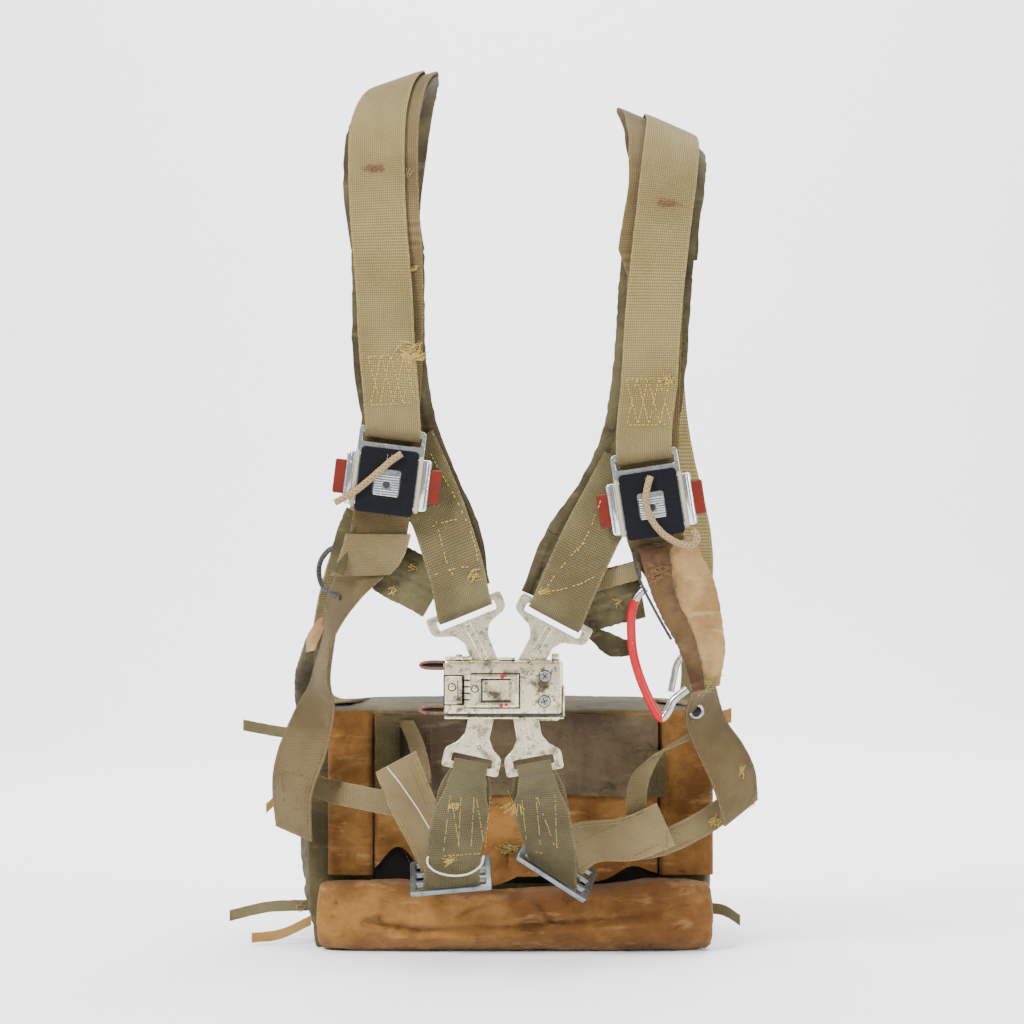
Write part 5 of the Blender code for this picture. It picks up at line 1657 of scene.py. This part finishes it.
class Sewing:
    """The visible stitching and the frayed thread ends."""

    def sets(self) -> list[StitchSet]:
        """Every stitched pattern."""
        y, b = Finish.THREAD, Finish.BROWN_THREAD
        return [
            StitchSet("riser_left_stitches", "webbing", y, (
                ((368, 357), (390, 355), (413, 353)), ((370, 405), (393, 404), (416, 402)),
                tuple(zigzag(368, 413, 356, 403, 4, 1.0)), tuple(zigzag(371, 416, 403, 355, 4, -1.0)),
            ), 0.62),
            StitchSet("riser_right_stitches", "webbing", y, (
                ((626, 379), (648, 379), (670, 378)), ((628, 425), (650, 425), (671, 424)),
                tuple(zigzag(626, 670, 379, 424, 4, 1.0)), tuple(zigzag(627, 671, 424, 379, 4, -1.0)),
            ), 0.62),
            StitchSet("chest_left_stitches", "olive_webbing", y, (
                ((430, 453), (442, 475), (458, 502), (470, 530), (476, 548), (479, 566)),
                ((424, 530), (440, 523), (462, 518)), ((436, 520), (446, 560), (455, 580)),
                ((434, 575), (456, 568), (478, 566)),
            ), 0.58, 0.22),
            StitchSet("chest_right_stitches", "olive_webbing", y, (
                ((588, 540), (576, 550), (566, 562), (555, 575), (545, 591)),
                ((542, 592), (560, 590), (580, 584), (598, 575)), ((601, 500), (590, 530), (575, 556)),
            ), 0.58, 0.22),
            StitchSet("tab_left_stitches", "olive_webbing", y, (
                ((450, 795), (443, 856)), ((490, 796), (485, 853)), ((443, 856), (485, 853)),
                ((461, 797), (458, 851)), ((474, 797), (471, 851)), ((451, 797), (460, 850)), ((476, 797), (485, 850)),
            ), 0.52, 0.2),
            StitchSet("tab_right_stitches", "olive_webbing", y, (
                ((522, 800), (527, 846)), ((555, 795), (557, 853)), ((530, 851), (557, 855)),
                ((536, 797), (541, 851)), ((537, 797), (556, 850)),
            ), 0.52, 0.2),
            StitchSet("hip_left_stitches", "webbing", b, (
                ((280, 772), (308, 776)), ((283, 806), (303, 810)), ((281, 773), (285, 806)), ((308, 777), (303, 809)),
            ), 0.4, 0.2),
            StitchSet("flap_stitches", "satin", b, (
                ((431, 729), (431, 790)), ((427, 729), (427, 790)), ((557, 727), (557, 795)), ((584, 725), (584, 795)),
                ((624, 722), (624, 795)), ((570, 792), (655, 793)),
            ), 0.3, 0.15),
            StitchSet("strip_stitches", "olive_cloth", b, (
                ((381, 718), (381, 768)), ((394, 718), (394, 760)), ((659, 730), (659, 794)), ((668, 735), (668, 794)),
            ), 0.3, 0.1),
            StitchSet("canvas_stitches", "canvas", b, (
                ((372, 815), (372, 870)), ((374, 826), (392, 827)), ((578, 821), (606, 819)), ((667, 812), (667, 862)),
                ((325, 880), (370, 884)), ((512, 862), (518, 871), (530, 873), (540, 868)),
            ), 0.32, 0.1),
            StitchSet("leg_left_stitches", "olive_webbing", b, (((379, 781), (411, 867)), ((407, 759), (440, 838))), 0.28, 0.2),
            StitchSet("leg_right_stitches", "olive_webbing", b, (((572, 845), (652, 808)), ((588, 880), (662, 842))), 0.28, 0.2),
        ]

    def tufts(self) -> list[TuftSpot]:
        """Every frayed end."""
        y, b, m = Finish.THREAD, Finish.BROWN_THREAD, Finish.MOSS_THREAD
        return [
            TuftSpot("tuft_riser_left", 412, 354, (20, 10), 26, y, 20, "webbing"),
            TuftSpot("tuft_riser_right", 668, 380, (9, 6), 12, y, 80, "webbing"),
            TuftSpot("tuft_brown_left", 375, 168, (17, 5), 18, b, -12, "webbing"),
            TuftSpot("tuft_brown_right", 668, 203, (15, 4), 16, b, -8, "webbing"),
            TuftSpot("tuft_edge_one", 408, 173, (8, 4), 7, m, 60, "webbing"),
            TuftSpot("tuft_edge_two", 413, 268, (8, 3), 8, y, 10, "webbing"),
            TuftSpot("tuft_edge_three", 421, 357, (8, 5), 8, y, 30, "webbing"),
            TuftSpot("tuft_chest_left", 475, 575, (9, 6), 14, y, 30),
            TuftSpot("tuft_chest_right", 544, 591, (8, 4), 10, y, 20),
            TuftSpot("tuft_quilt_one", 413, 567, (6, 4), 9, y, 0, "padding"),
            TuftSpot("tuft_quilt_two", 394, 591, (6, 4), 8, y, 50, "padding"),
            TuftSpot("tuft_quilt_three", 618, 603, (6, 4), 8, y, 20, "padding"),
            TuftSpot("tuft_band_left", 337, 784, (13, 5), 16, b, -10),
            TuftSpot("tuft_tab_left_upper", 455, 804, (9, 5), 14, y, 40),
            TuftSpot("tuft_tab_left_lower", 449, 859, (10, 4), 14, y, 35),
            TuftSpot("tuft_tab_right_upper", 514, 804, (20, 2), 12, y, 80),
            TuftSpot("tuft_tab_right_lower", 513, 849, (19, 5), 14, m, -10),
            TuftSpot("tuft_hip_right_one", 742, 770, (10, 5), 12, y, 60, "webbing"),
            TuftSpot("tuft_hip_right_two", 715, 822, (9, 7), 16, y, 30, "webbing"),
            TuftSpot("tuft_hip_right_three", 752, 800, (10, 4), 12, m, 60, "webbing"),
            TuftSpot("tuft_pocket_end", 706, 684, (18, 8), 34, m, 20, "pocket_cloth"),
            TuftSpot("tuft_under_release", 660, 572, (17, 8), 30, b, 20, "webbing"),
            TuftSpot("tuft_hip_left", 300, 655, (8, 4), 10, y, 40, "padding"),
            TuftSpot("tuft_knot_left", 300, 906, (8, 6), 16, Finish.CORD, 30, "canvas"),
        ]

    def build(self) -> None:
        """All of the stitching and the tufts, laid on what is seen."""
        sight = Sight()
        for k, stitches in enumerate(self.sets()):
            lines = sight.lines(stitches.routes)
            if lines:
                Stitching(
                    stitches.name, lines, stitches.slot, stitches.finish, 3.3, stitches.radius, stitches.missing, 11 + k
                ).build()
        for k, tuft in enumerate(self.tufts()):
            spot = sight.hit(tuft.px, tuft.py, 0.2)
            if spot is None:
                LOG.warning("%s meets nothing", tuft.name)
                continue
            Tuft(tuft.name, tuple(spot), tuft.spread, tuft.strands, tuft.finish, tuft.slot, tuft.lean, 0.34, 40 + k).build()


def block(bm: bmesh.types.BMesh, low: Point, high: Point, place: Matrix, edge: float = 0.3) -> None:
    """Adds a bevelled block between two local corners in mm."""
    size = Vector(high) - Vector(low)
    middle = (Vector(high) + Vector(low)) / 2
    local = Matrix.Translation(middle) @ Matrix.Diagonal((*size, 1.0))
    made = bmesh.ops.create_cube(bm, size=1.0, matrix=Matrix.Diagonal((MM, MM, MM, 1.0)) @ Matrix.Translation(-ORIGIN) @ place @ local)
    edges = list({e for v in made["verts"] for e in v.link_edges})
    bmesh.ops.bevel(
        bm, geom=edges, offset=min(edge, 0.4 * min(size)) * MM, offset_type="OFFSET", segments=2, profile=0.5,
        affect="EDGES", material=-1,
    )


def stud(bm: bmesh.types.BMesh, centre: Point, radius: float, height: float, place: Matrix, sides: int = 20) -> None:
    """Adds a low domed stud that faces the local front, its base at the centre in mm."""
    local = Matrix.Translation(Vector(centre)) @ Matrix.Rotation(math.radians(90), 4, "X")
    made = bmesh.ops.create_cone(
        bm, cap_ends=True, segments=sides, radius1=radius, radius2=radius * 0.72, depth=height,
        matrix=Matrix.Diagonal((MM, MM, MM, 1.0)) @ Matrix.Translation(-ORIGIN) @ place @ local
        @ Matrix.Translation((0, 0, height / 2)),
    )
    rims = [e for e in {e for v in made["verts"] for e in v.link_edges} if len(e.link_faces) == 2
            and e.calc_face_angle(0.0) > 0.6]
    bmesh.ops.bevel(
        bm, geom=rims, offset=0.25 * height * MM, offset_type="OFFSET", segments=2, profile=0.5, affect="EDGES", material=-1,
    )


@dataclass
class ReleaseFittings:
    """The layered side plates, the ribbed slider and its hole, a dark disc of painted shade, on one release."""

    tag: str
    centre: Point
    tilt: float
    front: float = -6.0

    def place(self) -> Matrix:
        """The release's own frame, in mm."""
        return Matrix.Translation(self.centre) @ Matrix.Rotation(-math.radians(self.tilt), 4, "Y")

    def finish(self, bm: bmesh.types.BMesh, name: str, finish: Finish, slot: str, node: str) -> None:
        """Dresses one of its pieces on a node's body."""
        bmesh.ops.recalc_face_normals(bm, faces=bm.faces)
        dress(f"release_{self.tag}_{name}", bm, finish, slot, (), NODE_BODY[node], 45.0)

    def build(self) -> None:
        """Its plates, ribs and hole."""
        place, y = self.place(), self.front
        plates, steps, ribs, hole, staple = (bmesh.new() for _ in range(5))
        for sign in (-1, 1):
            near, far = sorted((sign * 22.6, sign * 25.9))
            block(plates, (near, y - 2.4, -21.5), (far, y + 1.0, 21.5), place, 0.8)
            near, far = sorted((sign * 26.2, sign * 29.4))
            block(steps, (near, y - 1.3, -19.6), (far, y + 1.0, 19.6), place, 0.6)
        slider_front = y - 0.3 - 1.1 - 1.1
        for k in range(9):
            z = -10.4 + k * 1.85
            for low, high in ((-9.2, -3.3), (3.3, 9.2)) if abs(z + 2.5) < 3.0 else ((-9.2, 9.2),):
                block(ribs, (low, slider_front - 0.7, z - 0.5), (high, slider_front + 0.4, z + 0.5), place, 0.25)
        # The hole is a flat dark disc on the slider: painted shade inside the hole.
        stud(hole, (0.0, slider_front + 0.2, -2.5), 2.9, 0.5, place, 24)
        for x in (-1.6, 1.6):
            block(staple, (x - 0.35, y - 4.2, 15.5), (x + 0.35, y - 3.0, 20.5), place, 0.15)
        body = f"release_{self.tag}_body"
        self.finish(plates, "cream_plates", Finish.CREAM, "chrome", body)
        self.finish(steps, "stepped_plates", Finish.CHROME, "chrome", body)
        self.finish(ribs, "slider_ribs", Finish.CHROME, "chrome", f"release_{self.tag}_slider")
        self.finish(hole, "slider_hole", Finish.DARK_CABLE, "black_shell", f"release_{self.tag}_slider")
        self.finish(staple, "cover_staple", Finish.STEEL_PALE, "steel", body)


@dataclass
class LockFittings:
    """The small metalwork on the four-point lock and its lugs."""

    centre: Point = (1.0, -114.0, 219.0)

    def finish(self, bm: bmesh.types.BMesh, name: str, finish: Finish, slot: str = "cast_metal", node: str = "lock_body") -> None:
        """Dresses one of its pieces on a node's body."""
        bmesh.ops.recalc_face_normals(bm, faces=bm.faces)
        dress("lock_" + name, bm, finish, slot, (), NODE_BODY[node], 45.0)

    def build(self) -> None:
        """Rivets, knuckles, the latch's rim, screw slots, lower plate, grooves, paint dots and thin dark pieces of
        painted shade.
        """
        place = Matrix.Translation(self.centre)
        rivets, lever_bits, slots, lower, tops, dots, grime = (bmesh.new() for _ in range(7))
        stud(rivets, (-38.7, -15.0, 0.9), 2.6, 1.1, place)
        block(rivets, (-43.0, -15.7, -10.8), (-31.5, -14.6, -9.2), place)
        block(rivets, (-43.0, -15.7, 6.6), (-31.5, -14.6, 8.2), place)
        for k, z in enumerate((-11.5, -6.6, -1.7, 3.2, 8.1)):
            ring = rivets if k % 2 == 0 else lever_bits
            bmesh.ops.create_cone(
                ring, cap_ends=True, segments=24, radius1=2.8 * MM, radius2=2.8 * MM, depth=3.6 * MM,
                matrix=Matrix.Translation(row(Vector(self.centre) + Vector((-27.0, -13.5, z + 0.5)))),
            )
        stud(lever_bits, (-21.4, -14.9, -0.4), 2.4, 1.0, place)
        block(lever_bits, (-24.2, -15.7, -13.4), (10.6, -14.7, -11.6), place)
        block(lever_bits, (-24.2, -15.7, 7.6), (10.6, -14.7, 9.4), place)
        block(lever_bits, (9.0, -15.9, -13.0), (11.0, -14.7, 9.2), place)
        # Each screw head's slot is a thin dark cross laid on it: painted shade in place of a cut slot.
        for x, z, turn in ((31.5, 9.0, 40), (31.0, -10.0, -20)):
            spin = place @ Matrix.Translation((x, -13.2, z)) @ Matrix.Rotation(math.radians(turn), 4, "Y")
            block(slots, (-2.6, -0.15, -0.4), (2.6, 0.1, 0.4), spin, 0.05)
            block(slots, (-0.4, -0.15, -2.6), (0.4, 0.1, 2.6), spin, 0.05)
        block(lower, (-44.5, -10.4, -23.4), (45.6, 9.0, -21.6), place, 0.5)
        block(lower, (44.9, -11.6, -21.5), (46.3, 8.0, 2.0), place, 0.4)
        for low, high in (((-44, -8, 21.2), (-24, 6, 23.6)), ((-4, -9, 21.2), (9, 4, 23.0)), ((36.5, -6, 21.2), (42.5, 2, 26.0)),
                          ((-36, -9, 21.2), (-31, 2, 25.4))):
            block(tops, low, high, place, 0.6)
        for x, z, size in ((-0.5, 9.0, 2.0), (1.6, 9.4, 1.2), (-1.5, -12.8, 1.7), (2.2, -12.4, 1.4)):
            bmesh.ops.create_icosphere(
                dots, subdivisions=2, radius=1.0,
                matrix=Matrix.Translation(row(Vector(self.centre) + Vector((x, -15.75, z))))
                @ Matrix.Diagonal((size * MM, 0.35 * MM, 0.8 * size * MM, 1.0)),
            )
        # The dark blocks, rings and rod below are painted shade: outlines round the lower plate, the lever and the
        # hinge plate, a panel in the hinge's middle, rings round the rivets and screws, the recess rim, and a core seen
        # between the hinge knuckles.
        block(grime, (-45.2, -11.25, -20.9), (45.2, -10.9, -19.4), place, 0.1)
        block(grime, (-25.2, -11.3, -15.6), (12.9, -10.9, -14.5), place, 0.1)
        block(grime, (-25.2, -11.3, 10.5), (12.9, -10.9, 11.5), place, 0.1)
        block(grime, (11.8, -11.3, -15.4), (12.9, -10.9, 11.3), place, 0.1)
        for x, z, wide in ((-38.7, 0.9, 3.2), (-21.4, -0.4, 3.0), (31.5, 9.0, 5.0), (31.0, -10.0, 5.0)):
            depth = -15.05 if x < -30 else (-14.95 if x < 0 else -11.1)
            stud(grime, (x, depth, z), wide, 0.15, place)
        for low, high in (((-45.0, -11.3, -13.0), (-30.0, -10.9, -12.0)), ((-45.0, -11.3, 9.0), (-30.0, -10.9, 10.0)),
                          ((-45.2, -11.3, -13.0), (-44.2, -10.9, 10.0)), ((-31.0, -11.4, -12.8), (-24.4, -10.9, 9.6)),
                          ((-34.6, -15.2, -8.6), (-33.8, -14.9, 6.0)), ((-16.8, -13.4, -10.2), (-16.0, -11.2, 7.2)),
                          ((-16.8, -13.4, -10.4), (5.8, -11.2, -9.6)), ((-16.8, -13.4, 6.4), (5.8, -11.2, 7.2))):
            block(grime, low, high, place, 0.1)
        bmesh.ops.create_cone(
            grime, cap_ends=True, segments=20, radius1=2.3 * MM, radius2=2.3 * MM, depth=20.0 * MM,
            matrix=Matrix.Translation(row(Vector(self.centre) + Vector((-27.0, -13.5, -2.0)))),
        )
        self.finish(rivets, "rivets", Finish.LUG)
        self.finish(lever_bits, "lever_rim", Finish.LUG, node="lock_lever")
        self.finish(slots, "screw_slots", Finish.DARK_CABLE, "steel", "lock_screw_upper")
        self.finish(lower, "lower_plate", Finish.LOCK)
        self.finish(tops, "top_bits", Finish.LOCK)
        self.finish(dots, "paint_dots", Finish.RED_DOT, "red_paint", "lock_lever")
        self.finish(grime, "grime_lines", Finish.DARK_CABLE)
        self.grooves()
        self.pin_loops()

    def pin_loops(self) -> None:
        """The looped wire ends of the two split pins."""
        for name, z in (("upper", 236.0), ("lower", 202.2)):
            wire = [(-43.0, -118.6, z + 2.5), (-52.0, -118.6, z + 2.6), (-59.0, -118.6, z + 2.0), (-61.8, -118.6, z),
                    (-59.0, -118.6, z - 2.0), (-52.0, -118.6, z - 2.6), (-43.0, -118.6, z - 2.5)]
            rod_piece(f"pin_loop_{name}", wire, 1.2, Finish.PIN, "steel", (), 10, NODE_BODY[f"lock_pin_{name}"])

    def grooves(self) -> None:
        """The pressed rims on the lug stems, and the lower left lug's hole, each with a dark rod of painted shade just
        inside.
        """
        for name, x0, z0, x1, z1, half in (
            ("upper_left", -25.5, 264.5, -14.0, 242.6, 2.3), ("upper_right", 35.0, 262.5, 23.2, 242.6, 2.3),
            ("lower_right", 17.0, 193.5, 20.6, 173.5, 1.9), ("lower_left_hole", -17.2, 174.2, -17.2, 172.6, 1.7),
        ):
            start, end = Vector((x0, -115.7, z0)), Vector((x1, -115.7, z1))
            along = (end - start).normalized()
            across = Vector((along.z, 0.0, -along.x))
            points = []
            for centre, turn in ((start, math.pi), (end, 0.0)):
                for k in range(7):
                    angle = turn + math.pi * (k / 6 - 0.5)
                    points.append(centre + along * (math.cos(angle) * half) + across * (math.sin(angle) * half))
            loop = [tuple(p) for p in points] + [tuple(points[0])]
            rod_piece("lug_groove_" + name, loop, 0.55, Finish.LUG, "cast_metal", (), 8)
            # A thin dark rod just inside each rim is painted shade in the groove.
            middle = (start + end) / 2
            inner = [tuple(Vector(q) - (Vector(q) - middle).normalized() * 0.75 + Vector((0, 0.15, 0))) for q in loop]
            rod_piece("lug_groove_shade_" + name, inner, 0.42, Finish.METAL_GRIME, "cast_metal", (), 8)


class PaleTrim:
    """The pale edge line on the left leg strap, the thin bow under the left tab and the hip web's eyelet, with a dark
    disc of painted shade in its hole.
    """

    def build(self) -> None:
        """The pale line and the eyelet, laid on what is seen, and the bow at given points."""
        sight = Sight()
        for line in sight.lines([((387, 767), (400, 783), (418, 809), (434, 836))], 0.4)[:1]:
            rod_piece("pale_edge_line", [tuple(p) for p in line], 0.6, Finish.PALE, "cord", (), 10)
        bow = ((-56.0, -48.0, 87.0), (-58.4, -47.0, 81.0), (-57.0, -46.0, 75.5), (-50.0, -45.5, 70.5), (-38.0, -45.0, 68.0),
               (-26.0, -45.5, 69.8), (-17.0, -46.5, 76.0), (-14.5, -48.0, 84.0))
        rod_piece("pale_bow", bow, 0.8, Finish.PALE, "cord", (), 12)
        spot = sight.hit(696, 711, 1.2)
        if spot is not None:
            turns = [2 * math.pi * k / 24 for k in range(25)]
            ring = [tuple(spot + Vector((5.0 * math.cos(t), 0.0, 5.0 * math.sin(t)))) for t in turns]
            rod_piece("hip_eyelet", ring, 1.3, Finish.STEEL_PALE, "steel", (), 12)
            # The eyelet's hole is a flat dark disc: painted shade inside the ring.
            bm = bmesh.new()
            flat = Matrix.Diagonal((4.2 * MM, 0.5 * MM, 4.2 * MM, 1.0))
            bmesh.ops.create_icosphere(bm, subdivisions=3, radius=1.0, matrix=Matrix.Translation(row(spot)) @ flat)
            dress("hip_eyelet_hole", bm, Finish.SHELL, "black_shell")


@dataclass
class Studio:
    """The camera, the lights and the pale floor."""

    lens: float = 111.02
    camera: Point = (0.0036, -2.633, 0.352)
    front_strength: float = 0.55
    back_strength: float = 1.9

    def area(self, name: str, place: Point, aim: Point, size: float, power: float) -> None:
        """A soft square light that looks at a point."""
        lamp = bpy.data.lights.new(name, "AREA")
        lamp.shape = "SQUARE"
        lamp.size = size
        lamp.energy = power
        made = bpy.data.objects.new(name, lamp)
        made.location = place
        made.rotation_euler = (Vector(aim) - Vector(place)).to_track_quat("-Z", "Y").to_euler()
        bpy.context.scene.collection.objects.link(made)

    def floor(self) -> None:
        """A pale floor that turns up into the backdrop."""
        bm = bmesh.new()
        bmesh.ops.create_grid(bm, x_segments=4, y_segments=60, size=0.5)
        for vert in bm.verts:
            along = (vert.co.y + 0.5) * 9.0
            x = vert.co.x * 9.0
            turn = min(max(along - 6.0, 0.0) / 1.2, math.pi / 2)
            past = max(along - 6.0 - 1.2 * math.pi / 2, 0.0)
            vert.co = Vector((
                x, -4.0 + min(along, 6.0) + 1.2 * math.sin(turn), 1.2 * (1 - math.cos(turn)) + past,
            ))
        mesh = bpy.data.meshes.new("floor")
        bm.to_mesh(mesh)
        bm.free()
        mesh.shade_smooth()
        g = Graph("pale_floor")
        tone = g.mix(g.lumps(g.coords(), 3.0), (0.90, 0.90, 0.90), (0.88, 0.88, 0.885))
        mesh.materials.append(g.finish(tone, 0.75))
        made = bpy.data.objects.new("floor", mesh)
        bpy.context.scene.collection.objects.link(made)

    def build(self) -> None:
        """Camera, lights, world and floor."""
        view = bpy.data.cameras.new("front")
        view.lens = self.lens
        view.sensor_width = 36.0
        view.clip_end = 50.0
        holder = bpy.data.objects.new("front", view)
        holder.location = self.camera
        holder.rotation_euler = (math.radians(90), 0.0, 0.0)
        bpy.context.scene.collection.objects.link(holder)
        bpy.context.scene.camera = holder
        aim = (0.0, -0.1, 0.35)
        self.area("key", (-1.5, -1.9, 2.0), aim, 0.8, 150.0)
        self.area("fill", (2.0, -1.9, 1.0), aim, 1.4, 70.0)
        self.area("top", (0.1, -0.3, 2.3), aim, 1.5, 40.0)
        self.area("rim", (0.9, 1.6, 1.7), aim, 1.0, 32.0)
        self.area("backdrop", (0.0, 1.2, 2.6), (0.0, 3.2, 0.9), 2.0, 150.0)
        world = bpy.data.worlds.new("pale")
        world.use_nodes = True
        nodes, links = world.node_tree.nodes, world.node_tree.links
        back = nodes["Background"]
        back.inputs[0].default_value = (0.93, 0.95, 1.0, 1.0)
        ways, axes, share = (nodes.new("ShaderNode" + kind) for kind in ("TexCoord", "SeparateXYZ", "MapRange"))
        links.new(ways.outputs["Generated"], axes.inputs[0])
        links.new(axes.outputs[1], share.inputs[0])
        for socket, value in zip(share.inputs[1:5], (-0.7, 0.3, self.front_strength, self.back_strength)):
            socket.default_value = value
        links.new(share.outputs[0], back.inputs[1])
        bpy.context.scene.world = world
        self.floor()


def main() -> None:
    """Builds every piece and reports it."""
    logging.basicConfig(level=logging.INFO, format="%(name)s %(message)s")
    Studio().build()
    for size in (LEFT, RIGHT):
        PullCord(size).build()
    Hardware().build()
    Pack().build()
    for size in (LEFT, RIGHT):
        Shoulder(size).build()
        Legs(size).build()
    HipGear().build()
    ReleaseFittings("left", (-87.0, -117.5, 375.0), -7.0).build()
    ReleaseFittings("right", (113.0, -117.5, 358.0), 8.7).build()
    LockFittings().build()
    PaleTrim().build()
    Sewing().build()


if __name__ == "__main__":
    main()
